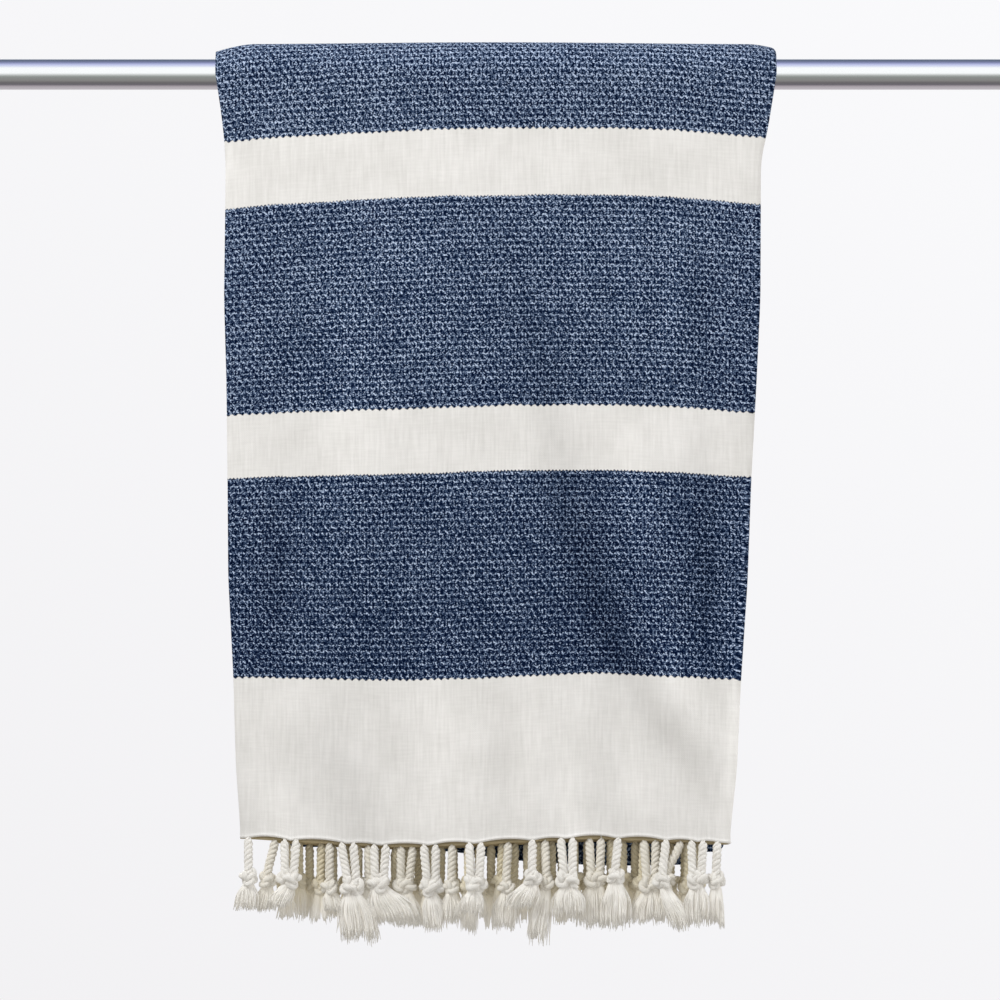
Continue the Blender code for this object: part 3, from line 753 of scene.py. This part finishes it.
# Relief: the pale floats stand up and the dimples sink in. The white's threads barely show, and
# towards the fringe the warp draws together in fine puckers.
warp_wave = node(tree, "Math", [sums(tree, (across, math.tau / WHITE_THREAD))], operation="SINE")
weft_wave = node(tree, "Math", [sums(tree, (length, math.tau / WHITE_THREAD))], operation="SINE")
plain = node(tree, "Math", [warp_wave, weft_wave], operation="MULTIPLY")
near_edge = node(tree, "MapRange", [length, PUCKER_HEIGHT, 0.0], **EASED)
puckers = streaks(tree, weave, PUCKERS, 2.0)
drawn = node(tree, "Math", [near_edge, puckers], operation="MULTIPLY")
white_relief = sums(tree, (plain, THREAD_RELIEF), (slubs, SLUB_RELIEF), (drawn, PUCKER_RELIEF))
relief = node(tree, "Mix", {0: stripes, 2: white_relief, 3: level})
bump = node(tree, "Bump", {"Height": relief, "Strength": 0.7, "Distance": 0.00040})
shader = node(tree, "BsdfPrincipled", {
    "Base Color": dyed.outputs[2],
    "Roughness": 0.95,
    "Specular IOR Level": 0.03,
    "Sheen Weight": 0.02,
    "Sheen Roughness": 0.5,
    "Normal": bump,
})
node(tree, "OutputMaterial", [shader])
towel.data.materials.append(cotton)

# Fringe: the warp of each end, gathered in bunches and twisted in cords. A knot closes each
# cord, and a short brush of loose yarn hangs from it. One piece for each end of the cloth.
STRIP_HEIGHT, STRIP_GAP = 0.0050, 0.0005    # the part of the edge band that holds the roots
ROOT_WIDTH, ROOT_MARGIN = 0.0048, 0.0004
CORD_WIDE, CORD_DEEP = 0.0027, 0.0025       # half sizes of a tassel's cords and of its brush
BRUSH_WIDE, BRUSH_DEEP = 0.0054, 0.0040
BRUSH_GAP = 0.0006
FAN = 1.8               # how much further apart the rows hang than they start
HIDDEN_SPACE, HIDDEN_JITTER = 0.0190, 0.0008
FRONT_KNOT = (0.019, 0.023)     # from the foot of the edge down to the knot, shortest and longest
HIDDEN_KNOT = (0.019, 0.024)
HIDDEN_LENGTH = (0.036, 0.046)

# Tassels of the front panel: half of the cloth, place from the rod's middle, length, how many cords
# meet in its knot, how far the knot and the brush's end hang aside, and the brush's half width
FRONT_TASSELS = (
    (0, -0.1320, 0.038, 1, 0.0003, -0.0002, 0.0055),
    (0, -0.1100, 0.035, 2, -0.0003, -0.0062, 0.0058),
    (0, -0.0800, 0.052, 2, 0.0022, 0.0064, 0.0090),
    (0, -0.0630, 0.041, 2, -0.0005, 0.0080, 0.0115),
    (0, -0.0370, 0.044, 2, 0.0008, 0.0030, 0.0058),
    (0, -0.0130, 0.037, 2, -0.0001, -0.0020, 0.0064),
    (0, 0.0170, 0.035, 1, -0.0002, -0.0065, 0.0078),
    (0, 0.0350, 0.040, 2, 0.0007, 0.0008, 0.0085),
    (0, 0.0620, 0.046, 1, -0.0016, -0.0016, 0.0076),
    (0, 0.0870, 0.047, 1, -0.0020, 0.0080, 0.0054),
    (0, 0.1035, 0.043, 2, -0.0003, -0.0005, 0.0068),
    (0, 0.1150, 0.044, 1, -0.0008, -0.0010, 0.0044),
    (1, -0.1180, 0.037, 1, -0.0040, -0.0050, 0.0055),
    (1, -0.0895, 0.036, 1, -0.0003, 0.0028, 0.0056),
    (1, -0.0690, 0.041, 1, 0.0000, 0.0010, 0.0055),
    (1, -0.0490, 0.042, 2, -0.0010, 0.0010, 0.0066),
    (1, -0.0250, 0.040, 1, 0.0000, 0.0000, 0.0064),
    (1, 0.0040, 0.045, 1, -0.0015, -0.0020, 0.0062),
    (1, 0.0235, 0.053, 1, 0.0000, -0.0045, 0.0060),
    (1, 0.0500, 0.046, 2, 0.0000, 0.0000, 0.0088),
    (1, 0.0770, 0.043, 2, 0.0000, -0.0022, 0.0088),
    (1, 0.0960, 0.041, 1, -0.0070, -0.0075, 0.0055),
)

FOOT = Row(0.0, 1.0, 0.0, 0.0)


# Cords that meet in a knot, with a brush under it. half: 0 for the outer half of the doubled cloth,
# 1 for the inner; panel: 0 in front, 1 in the middle, 2 next to the rod.
Tassel = namedtuple(
    "Tassel", "half panel x length knot cords knot_aside end_aside wide", defaults=(1, 0.0, 0.0, BRUSH_WIDE)
)


def root_limits(panel):
    """How far left and right a root can sit on a panel's flat stretch."""
    left, right = edges_at(True, 1.0)
    left_fold, right_fold, selvedge = folds_between(left, right, 1.0)
    start = left if panel == 0 else left_fold
    end = selvedge if panel == 2 else right_fold
    margin = ROOT_WIDTH / 2 + ROOT_MARGIN
    return start + margin, end - margin


def hidden_tassels(panel, chance):
    """Two rows of evenly spaced tassels on a panel that another one hides. Each layer's row starts
    a third of a space after the one outside it."""
    start, end = root_limits(panel)
    row = []
    for half in (0, 1):
        layer = ((2, 3), (1, 0))[panel - 1][half]
        x = start + HIDDEN_SPACE * ((3 - layer) % 3) / 3
        while x < end:
            jitter = chance.uniform(-HIDDEN_JITTER, HIDDEN_JITTER)
            length, knot = chance.uniform(*HIDDEN_LENGTH), chance.uniform(*HIDDEN_KNOT)
            row.append(Tassel(half, panel, x + jitter, length, knot))
            x += HIDDEN_SPACE
    return row


def spread(spots, wide, deep, along_only=False):
    """Push apart the places that are closer than a four-sided brush needs, in order, by steps."""
    for _ in range(120):
        moved = False
        for first in range(len(spots)):
            for second in range(first + 1, len(spots)):
                a, b = spots[first], spots[second]
                dx, dy = b[0] - a[0], b[1] - a[1]
                short = 1.0 - abs(dx) / wide - abs(dy) / deep
                if short <= 0.0:
                    continue
                moved = True
                push_x = math.copysign(short * wide * (0.5 if along_only else 0.25), dx)
                push_y = 0.0 if along_only else math.copysign(short * deep * 0.25, dy)
                spots[first] = (a[0] - push_x, a[1] - push_y)
                spots[second] = (b[0] + push_x, b[1] + push_y)
        if not moved:
            break
    return spots


def root_of(tassel):
    """Middle of a tassel's root, at the foot of the cloth's edge."""
    layer, outward = PANELS[tassel.panel]
    spot = Spot(tassel.x, layer, 0.0, outward, None)
    left, right = edges_at(True, 1.0)
    side = 1 if tassel.half == 0 else -1
    offset = side * pitch_at(tassel.x, left, right, 1.0) / 2
    return place(spot, offset, FOOT._replace(below=STRIP_GAP + STRIP_HEIGHT))


def all_tassels():
    """Every tassel of both ends, with the cords of neighbouring rows kept clear."""
    chance = random.Random(7)
    tassels = []
    for half, x, length, *shape in FRONT_TASSELS:
        tassels.append(Tassel(half, 0, MIDDLE + x, length, chance.uniform(*FRONT_KNOT), *shape))
    for panel in (1, 2):
        tassels += hidden_tassels(panel, chance)
    roots = [root_of(tassel)[:2] for tassel in tassels]
    cleared = spread(roots, 2 * CORD_WIDE + BRUSH_GAP, 2 * CORD_DEEP + BRUSH_GAP, True)
    limits = [root_limits(tassel.panel) for tassel in tassels]
    placed = [min(max(x, start), end) for (x, _), (start, end) in zip(cleared, limits)]
    return [tassel._replace(x=x) for tassel, x in zip(tassels, placed)]


def hanging_places(tassels):
    """Where each knot and brush hangs: the rows fan out in depth, and no two brushes touch."""
    roots = [root_of(tassel) for tassel in tassels]
    middle = sum(root[1] for root in roots) / len(roots)
    fanned = [(x, middle + FAN * (y - middle)) for x, y, _ in roots]
    return spread(fanned, 2 * BRUSH_WIDE + BRUSH_GAP, 2 * BRUSH_DEEP + BRUSH_GAP)


# Yarn, in its real sizes
PLIES, PLY_RADIUS, CORD_RADIUS = 3, 0.00120, 0.0025
PLY_TURN = 0.0080       # length of a whole turn of the cord
PLY_SIDES, PLY_STEP = 6, 0.00060
TUBE_SEAM = (0.31, 0.87, 0.38)  # a tube's first side is square to this and to its line
HIDDEN_SIDES, HIDDEN_STEP = 5, 0.00090
CORD_SPACE = 0.0031     # from a tassel's middle to each of its two cords, at the hem
ROOT_RISE = 0.0022      # the cords start this far above the edge, inside it
ROOT_GROWTH = 0.0045    # the length over which they thicken
KNOT_PLY, KNOT_PLY_OFFSET = 0.00150, 0.00104
KNOT_STEPS, HIDDEN_KNOT_STEPS, KNOT_SIDES = 56, 40, 6
KNOT_LOOP, KNOT_LIFT, KNOT_CORE = 0.00100, 0.00158, 0.0026
FILL_RADIUS, FILL_SIDES = 0.0024, 8
LOCK_RADIUS, LOCK_SIDES = 0.00075, 5
THREAD_RADIUS, THREAD_SIDES = 0.00030, 3
BRUSH_STEPS = 7
FIBRE_LEAN = 1.1        # how far a ply's fibres run round it for each length along it
ROOT_SIZE = 0.12        # how thin the cords start, inside the edge
DOUBLE_WIDE, DOUBLE_TALL, DOUBLE_THICK = 1.45, 1.12, 1.15   # a knot where two cords meet
KNOT_TALL, KNOT_FLAT, KNOT_FILL = 1.15, 0.92, 2.2   # its height and depth, and its core's length
CORD_END, BRUSH_START = 0.0012, 0.0024  # above and below a knot's middle
CORDS_MEET = 0.75       # how far apart two cords enter their knot, against their space at the hem
BRUSH_WAIST = 0.35      # how wide a brush is just under its knot, as a share
BRUSH_FLAT = 0.85       # and how deep, as a share of its depth
FILL_SPACE = 0.0026     # between the thick cores of a brush
HIDDEN_LOCKS, HIDDEN_THREADS = 6, 3     # locks of a brush, and threads on each of them
FRONT_LOCKS, FRONT_THREADS = 8, 10
LOCKS_FROM, LOCKS_STEP = 0.0044, 0.0006     # a brush wider than the first has a lock more per step
INNER_SHADE = 0.3       # how much of the hidden yarn's warm shade the front panel's inner half has
CORE_STOPS = (-1.0, -0.8, -0.4, 0.4, 0.8, 1.0)  # along the core of a knot, from its middle
# How thick a knot's core, a brush's thick core and a lock are, from one end to the other
CORE_SHAPE = (0.3, 0.75, 1.0, 1.0, 0.75, 0.3)
FILL_SHAPE = (0.7, 0.95, 1.0, 1.0, 0.95, 0.7, 0.2)
LOCK_SHAPE = (0.80, 1.0, 1.05, 1.05, 1.0, 0.85, 0.35)


def frames_along(path, closed, first=None):
    """Two directions square to a line at each of its points, which turn as little as they can."""
    ahead = numpy.roll(path, -1, 0) - numpy.roll(path, 1, 0) if closed else numpy.gradient(path, axis=0)
    ahead /= numpy.linalg.norm(ahead, axis=1)[:, None]
    if first is None:
        first = (0.0, 1.0, 0.0) if abs(ahead[0][1]) < 0.9 else (1.0, 0.0, 0.0)
    side, frames = numpy.cross(ahead[0], first), []
    for forward in ahead:
        side = side - forward * side.dot(forward)
        side /= numpy.linalg.norm(side)
        frames.append((side, numpy.cross(forward, side)))
    return frames


class Yarns:
    """Closed tubes gathered for one mesh. Their map runs round and along them, in metres."""

    def __init__(self):
        self.points, self.faces, self.places, self.shades, self.loosenesses = [], [], [], [], []
        self.shade = 0.0
        self.looseness = 0.0

    def add(self, path, radii, sides, lean=0.0, closed=False):
        """A tube along a path, whose fibres lean round it."""
        path = numpy.asarray(path, dtype=float)
        count = len(path)
        loop = numpy.vstack([path, path[:1]]) if closed else path
        run = numpy.concatenate([[0.0], numpy.cumsum(numpy.linalg.norm(numpy.diff(loop, axis=0), axis=1))])
        base = len(self.points)
        for centre, radius, (side, up) in zip(path, radii, frames_along(path, closed, TUBE_SEAM)):
            for turn in range(sides):
                angle = math.tau * turn / sides
                out = math.cos(angle) * side + math.sin(angle) * up
                self.points.append(tuple(centre + radius * out))
        self.shades += [self.shade] * (count * sides)
        self.loosenesses += [self.looseness] * (count * sides)
        twist = self.seam_twist(base, count, sides) if closed else 0
        around = math.tau * max(radii) / sides
        for at in range(count if closed else count - 1):
            last = at + 1 == count
            here, following = base + at * sides, base + (0 if last else at + 1) * sides
            near, far = run[at], run[at + 1]
            for turn in range(sides):
                shifted = turn + (twist if last else 0)
                self.faces.append((
                    here + turn,
                    here + (turn + 1) % sides,
                    following + (shifted + 1) % sides,
                    following + shifted % sides,
                ))
                for step, along in ((0, near), (1, near), (1, far), (0, far)):
                    self.places.append(((turn + step) * around + lean * along, along))
        if not closed:
            self.faces.append(tuple(base + turn for turn in reversed(range(sides))))
            self.faces.append(tuple(base + (count - 1) * sides + turn for turn in range(sides)))
            self.places += [(0.0, 0.0)] * sides + [(0.0, run[-1])] * sides

    def seam_twist(self, base, count, sides):
        """How many sides the last ring of a closed tube is turned against the first."""
        last = numpy.array(self.points[base + (count - 1) * sides])
        apart = [math.dist(last, self.points[base + turn]) for turn in range(sides)]
        return int(numpy.argmin(apart))

    def add_rope(self, middle, plies, radius, offset, turns, phase, sides, closed=False, grow=None):
        """Plies twisted round each other along a line, by `turns` whole turns."""
        middle = numpy.asarray(middle, dtype=float)
        count = len(middle)
        frames = frames_along(middle, closed)
        grow = grow if grow is not None else [1.0] * count
        whole = count if closed else count - 1
        for ply in range(plies):
            path = []
            for at, (side, up) in enumerate(frames):
                angle = phase + ply * math.tau / plies + math.tau * turns * at / whole
                out = math.cos(angle) * side + math.sin(angle) * up
                path.append(middle[at] + grow[at] * offset * out)
            radii = [radius * size for size in grow]
            self.add(path, radii, sides, lean=-math.copysign(FIBRE_LEAN, turns), closed=closed)


def add_cord(yarns, start, end, hand, phase, hidden):
    """One hanging cord of twisted plies: straight out of the hem, then over to its knot."""
    length = math.dist(start, end)
    count = max(int(length / (HIDDEN_STEP if hidden else PLY_STEP)), 10)
    middle, grow = [], []
    for step in range(count):
        share = step / (count - 1)
        ease = smooth(share)
        x = start[0] + ease * (end[0] - start[0])
        y = start[1] + ease * (end[1] - start[1])
        middle.append((x, y, start[2] + share * (end[2] - start[2])))
        grow.append(ROOT_SIZE + (1.0 - ROOT_SIZE) * smooth(share * length / ROOT_GROWTH))
    sides = HIDDEN_SIDES if hidden else PLY_SIDES
    turns = hand * length / PLY_TURN
    yarns.add_rope(middle, PLIES, PLY_RADIUS, CORD_RADIUS - PLY_RADIUS, turns, phase, sides, grow=grow)


def add_knot(yarns, centre, cords, chance, hand, steps):
    """An overhand knot of the cord, pulled tight, wider where two cords meet in it."""
    double_wide, double_tall, thick = (
        (1.0, 1.0, 1.0) if cords == 1 else (DOUBLE_WIDE, DOUBLE_TALL, DOUBLE_THICK)
    )
    tilt, roll = chance.uniform(0.75, 1.35), chance.uniform(0.0, math.tau)
    lean = chance.uniform(-0.35, 0.35)
    wide = double_wide * chance.uniform(0.94, 1.08)
    tall = double_tall * chance.uniform(0.94, 1.10)
    path = []
    for step in range(steps):
        t = math.tau * step / steps
        a = (math.sin(t) + 2 * math.sin(2 * t)) * KNOT_LOOP
        b = (math.cos(t) - 2 * math.cos(2 * t)) * KNOT_LOOP
        c = -hand * math.sin(3 * t) * KNOT_LIFT
        a, b = a * math.cos(roll) - b * math.sin(roll), a * math.sin(roll) + b * math.cos(roll)
        y, z = b * math.sin(tilt) - c * math.cos(tilt), b * math.cos(tilt) + c * math.sin(tilt)
        x, y, z = a * wide, y * KNOT_FLAT, z * tall * KNOT_TALL
        x, z = x * math.cos(lean) - z * math.sin(lean), x * math.sin(lean) + z * math.cos(lean)
        path.append((centre[0] + x, centre[1] + y, centre[2] + z))
    size = KNOT_PLY * thick, KNOT_PLY_OFFSET * thick
    yarns.add_rope(path, 2, *size, hand * 4, chance.uniform(0, math.tau), KNOT_SIDES, closed=True)
    reach = KNOT_LOOP * KNOT_FILL * wide
    core = [(centre[0] + along * reach, centre[1], centre[2]) for along in CORE_STOPS]
    yarns.add(core, [KNOT_CORE * part for part in CORE_SHAPE], FILL_SIDES)


def brush_path(top, foot, turn, out, far, wide, bend):
    """One thread's line in a brush that flares under its knot."""
    path = []
    for step in range(BRUSH_STEPS):
        share = step / (BRUSH_STEPS - 1)
        open_up = BRUSH_WAIST + (1.0 - BRUSH_WAIST) * smooth(0.12 + share * 1.5)
        ease = smooth(0.15 + 0.85 * share)
        x, y = wide * out * open_up * math.cos(turn), BRUSH_DEEP * BRUSH_FLAT * out * open_up * math.sin(turn)
        path.append((
            top[0] + ease * (foot[0] - top[0]) + x + bend[0] * share * share,
            top[1] + ease * (foot[1] - top[1]) + y + bend[1] * share,
            top[2] - share * far,
        ))
    return path


def add_brush(yarns, top, foot, wide, locks, threads, chance):
    """Loose yarn under a knot: locks of fibre, with fine threads over them and ragged ends."""
    length = top[2] - foot[2]
    inner = wide - LOCK_RADIUS
    fills = max(round(wide / FILL_SPACE), 2)
    for fill in range(fills):
        across = (2 * fill + 1) / fills - 1.0
        path = brush_path(top, foot, 0.0, 0.78 * across, length * 0.86, wide, (0.0, 0.0))
        yarns.add(path, [FILL_RADIUS * part for part in FILL_SHAPE], FILL_SIDES)
    for lock in range(locks):
        turn = math.tau * (lock + chance.uniform(-0.35, 0.35)) / locks
        out = chance.uniform(0.55, 0.9) if lock % 3 else chance.uniform(0.0, 0.4)
        far = length * chance.uniform(0.80, 0.96)
        bend = chance.uniform(-0.0009, 0.0009), chance.uniform(-0.0006, 0.0006)
        path = brush_path(top, foot, turn, out, far, inner, bend)
        size = chance.uniform(0.85, 1.15) * LOCK_RADIUS
        yarns.add(path, [size * part for part in LOCK_SHAPE], LOCK_SIDES, lean=chance.uniform(-0.25, 0.25))
        for _ in range(threads // locks):
            near = turn + chance.gauss(0.0, 0.38)
            reach = min(out + chance.uniform(0.0, 0.35), 1.10)
            further = far * chance.uniform(0.92, 1.14)
            stray = bend[0] + chance.gauss(0.0, 0.0007), bend[1] + chance.gauss(0.0, 0.0005)
            path = brush_path(top, foot, near, reach, further, wide, stray)
            yarns.add(path, [THREAD_RADIUS] * (BRUSH_STEPS - 1) + [THREAD_RADIUS * 0.4], THREAD_SIDES)


def add_tassel(yarns, tassel, hang, chance):
    """Cords, knot and brush of one tassel."""
    root = root_of(tassel)
    start = numpy.array(root) + (0.0, 0.0, ROOT_RISE)
    knot = (hang[0] + tassel.knot_aside, hang[1], root[2] - tassel.knot)
    end = (knot[0], knot[1], knot[2] + CORD_END)
    hand = chance.choice((-1, 1))
    hidden = tassel.panel > 0
    yarns.shade = 1.0 if hidden else INNER_SHADE * tassel.half
    phase = chance.uniform(0, math.tau)
    if tassel.cords == 1:
        add_cord(yarns, start, end, hand, phase, hidden)
    else:
        for side in (-1, 1):
            from_x = start + (side * CORD_SPACE, chance.uniform(-0.0004, 0.0004), 0.0)
            to_x = (end[0] + side * CORD_SPACE * CORDS_MEET, end[1], end[2])
            add_cord(yarns, from_x, to_x, side, phase * side, hidden)
    add_knot(yarns, knot, tassel.cords, chance, hand, HIDDEN_KNOT_STEPS if hidden else KNOT_STEPS)
    top = (knot[0], knot[1], knot[2] - BRUSH_START)
    foot = (hang[0] + tassel.end_aside, hang[1], root[2] - tassel.length)
    locks = HIDDEN_LOCKS if hidden else FRONT_LOCKS + int((tassel.wide - LOCKS_FROM) / LOCKS_STEP)
    threads = locks * (HIDDEN_THREADS if hidden else FRONT_THREADS)
    yarns.looseness = 1.0
    add_brush(yarns, top, foot, tassel.wide, locks, threads, chance)
    yarns.looseness = 0.0


def build_fringe(name, tassels, hangs, half):
    """All the tassels of one end of the cloth."""
    yarns = Yarns()
    for number, (tassel, hang) in enumerate(zip(tassels, hangs)):
        if tassel.half == half:
            add_tassel(yarns, tassel, hang, random.Random(1000 + number))
    marks = {"shade": yarns.shades, "loose": yarns.loosenesses}
    return add_mesh(name, yarns.points, yarns.faces, yarns.places, marks)


deselect()
tassels = all_tassels()
hangs = hanging_places(tassels)
fringes = [
    build_fringe("fringe_of_outer_end", tassels, hangs, 0),
    build_fringe("fringe_of_inner_end", tassels, hangs, 1),
]

# Cotton yarn, off-white and undyed, slightly creamier than the cloth: dull, and made of fine fibres
# that lean round each ply and run straight down in the brushes.
FIBRE_WIDE, FIBRE_LONG = 0.00055, 0.008
WARM_LEVELS = (-0.446, -0.416)      # where the warm shade between the layers starts and is full
BRUSH_GLOW, CORD_GLOW = 0.11, 0.04  # painted glow by emission, for light that scatters inside the loose yarn and in all of it
THROUGH_SHARE = 0.10                # of the light passes through the yarn
YARN = ("D6D1C7", "FAF8F3")         # between its fibres, and on them
YARN_IN_SHADE = "DCD2B6"
yarn, tree = new_material("Twisted cotton yarn")
around = node(tree, "UVMap", uv_map="weave")
fibres = streaks(tree, around, (1 / FIBRE_WIDE, 1 / FIBRE_LONG, 1.0), 3.0)
place_of = node(tree, "TexCoord").outputs["Object"]
soft = node(tree, "TexNoise", {"Vector": place_of, "Scale": 150.0, "Detail": 2.0})
bump = node(tree, "Bump", {"Height": fibres, "Strength": 0.6, "Distance": 0.00030})
tint = sums(tree, (fibres, 1.7), (soft, 0.6), -0.60)
dull, bright = [linear(code) for code in YARN]
colour = node(tree, "Mix", {0: tint, 6: dull, 7: bright}, data_type="RGBA")
# Painted shade: between the layers, close under the cloth, the yarn is given a warm, darker colour
level_of = node(tree, "SeparateXYZ", [place_of]).outputs[2]
shade_of = node(tree, "Attribute", attribute_name="shade").outputs["Fac"]
up_high = node(tree, "MapRange", [level_of, *WARM_LEVELS], **EASED)
in_shade = node(tree, "Math", [shade_of, up_high], operation="MULTIPLY")
warm = node(tree, "Mix", {0: in_shade, 6: colour.outputs[2], 7: linear(YARN_IN_SHADE)}, data_type="RGBA")
# Painted glow: emission stands in for light that scatters from fibre to fibre, most of all in the loose yarn
# of the brushes
loose = node(tree, "Attribute", attribute_name="loose").outputs["Fac"]
painted_glow = sums(tree, (loose, BRUSH_GLOW), CORD_GLOW)
shader = node(tree, "BsdfPrincipled", {
    "Base Color": warm.outputs[2],
    "Roughness": 0.95,
    "Specular IOR Level": 0.10,
    "Sheen Weight": 0.35,
    "Sheen Roughness": 0.6,
    "Emission Color": warm.outputs[2],
    "Emission Strength": painted_glow,
    "Normal": bump,
})
through = node(tree, "BsdfTranslucent", {"Color": warm.outputs[2]})
fluffy = node(tree, "MixShader", [THROUGH_SHARE, shader, through])
node(tree, "OutputMaterial", [fluffy])
for fringe, solid in zip(fringes, ("fringe_outer_end", "fringe_inner_end")):
    fringe.data.materials.append(yarn)
    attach(fringe, "root")
    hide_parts(solid)

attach(towel, "root")
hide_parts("towel")

# Studio: a pale floor well below the towel, an even pale background, one large soft light from above
# on the left and weak ones elsewhere.
FLOOR_LEVEL = -1.20
FLOOR_RADIUS, FLOOR_SIDES = 6.0, 96
FLOOR_GLOW = 0.2        # pale light of its own, so that it shows as evenly as the background
deselect()
bpy.ops.mesh.primitive_circle_add(
    vertices=FLOOR_SIDES, radius=FLOOR_RADIUS, fill_type="NGON", location=(0, 0, 0)
)
floor = bpy.context.object
floor.name = "studio_floor"
bpy.ops.transform.translate(value=(MIDDLE, 0.0, FLOOR_LEVEL))
bpy.ops.object.transform_apply(location=True)
paper, tree = new_material("Pale painted floor")
place_of = node(tree, "TexCoord").outputs["Object"]
mottle = node(tree, "TexNoise", {"Vector": place_of, "Scale": 3.0})
tint = node(tree, "Mix", {0: mottle, 6: linear("D6D5D4"), 7: linear("DCDBDA")}, data_type="RGBA")
shader = node(tree, "BsdfPrincipled", {
    "Base Color": tint.outputs[2],
    "Roughness": 0.8,
    "Emission Color": tint.outputs[2],
    "Emission Strength": FLOOR_GLOW,
})
node(tree, "OutputMaterial", [shader])
floor.data.materials.append(paper)
floor.visible_glossy = False
floor.visible_diffuse = False

# What the rod mirrors, by the angle round it: 0 is straight ahead of the towel, 90 overhead and -90
# straight down, in degrees
ROOM = (
    (-180, "B4AEB2"),
    (-125, "B4AEB2"),
    (-104, "A89FA4"),
    (-88, "68646A"),
    (-66, "6A6768"),
    (-50, "868482"),
    (-20, "8A8E8A"),
    (-8, "B4B8B4"),
    (8, "FBFDFC"),
    (50, "FBFDFC"),
    (62, "DBE0F1"),
    (80, "BCC1E5"),
    (100, "8389AE"),
    (124, "606A7F"),
    (150, "606A7F"),
    (168, "A8B0B8"),
    (180, "B4AEB2"),
)
STEEL_SHARE = 0.655      # of the light that the rod sends back
# Soft light from all round, by the same angle
AMBIENT = (
    (-180, "8A857E"),
    (-90, "B8B4AE"),
    (-45, "CCCAC7"),
    (0, "CFCECE"),
    (45, "C4C5C8"),
    (90, "ACAEB4"),
    (180, "8A857E"),
)
BACKDROP = ((0.0, "F1F0F2"), (1.0, "FAFAFC"))   # what the camera sees, from below to above

world = bpy.data.worlds.new("Soft studio")
bpy.context.scene.world = world
world.use_nodes = True
tree = world.node_tree
tree.nodes.clear()
towards = node(tree, "SeparateXYZ", [node(tree, "TexCoord").outputs["Generated"]])
ahead = node(tree, "Math", [towards.outputs[1], -1.0], operation="MULTIPLY")
angle = node(tree, "Math", [towards.outputs[2], ahead], operation="ARCTAN2")
turn = sums(tree, (angle, 1 / math.tau), 0.5)
slope = sums(tree, (towards.outputs[2], 5.0), (towards.outputs[0], 3.0), 0.55)
shown = []
for at, stops, low, high, strength in (
    (turn, AMBIENT, -180, 180, 1.0),
    (turn, ROOM, -180, 180, 1 / STEEL_SHARE),
    (slope, BACKDROP, 0.0, 1.0, 1.0),
):
    colours = node(tree, "ValToRGB", [at])
    fill_ramp(colours.color_ramp, stops, low, high)
    shown.append(node(tree, "Background", [colours, strength]))
lit, mirrored, seen = shown
ray = node(tree, "LightPath")
for_rod = node(tree, "MixShader", [ray.outputs["Is Glossy Ray"], lit, mirrored])
both = node(tree, "MixShader", [ray.outputs["Is Camera Ray"], for_rod, seen])
node(tree, "OutputWorld", [both])

# Softboxes: place, what they point at, width and height, watts
SOFTBOXES = (
    ((-0.90, -1.20, 1.48), (0.30, 0.0, -0.20), 1.0, 1.0, 38.0),
    ((3.00, -0.50, 0.10), (0.30, 0.0, -0.25), 1.6, 1.6, 30.0),
    ((-0.60, 2.60, 1.60), (0.30, 0.0, -0.20), 1.6, 1.6, 90.0),
)
for place_at, target, wide, tall, watts in SOFTBOXES:
    bpy.ops.object.light_add(type="AREA", location=place_at)
    box = bpy.context.object
    box.data.shape = "RECTANGLE"
    box.data.size, box.data.size_y, box.data.energy = wide, tall, watts
    box.visible_glossy = False
    aim = [to - here for to, here in zip(target, place_at)]
    flat = math.hypot(aim[0], aim[1])
    box.rotation_euler = (math.atan2(flat, -aim[2]), 0.0, math.atan2(aim[1], aim[0]) - math.pi / 2)
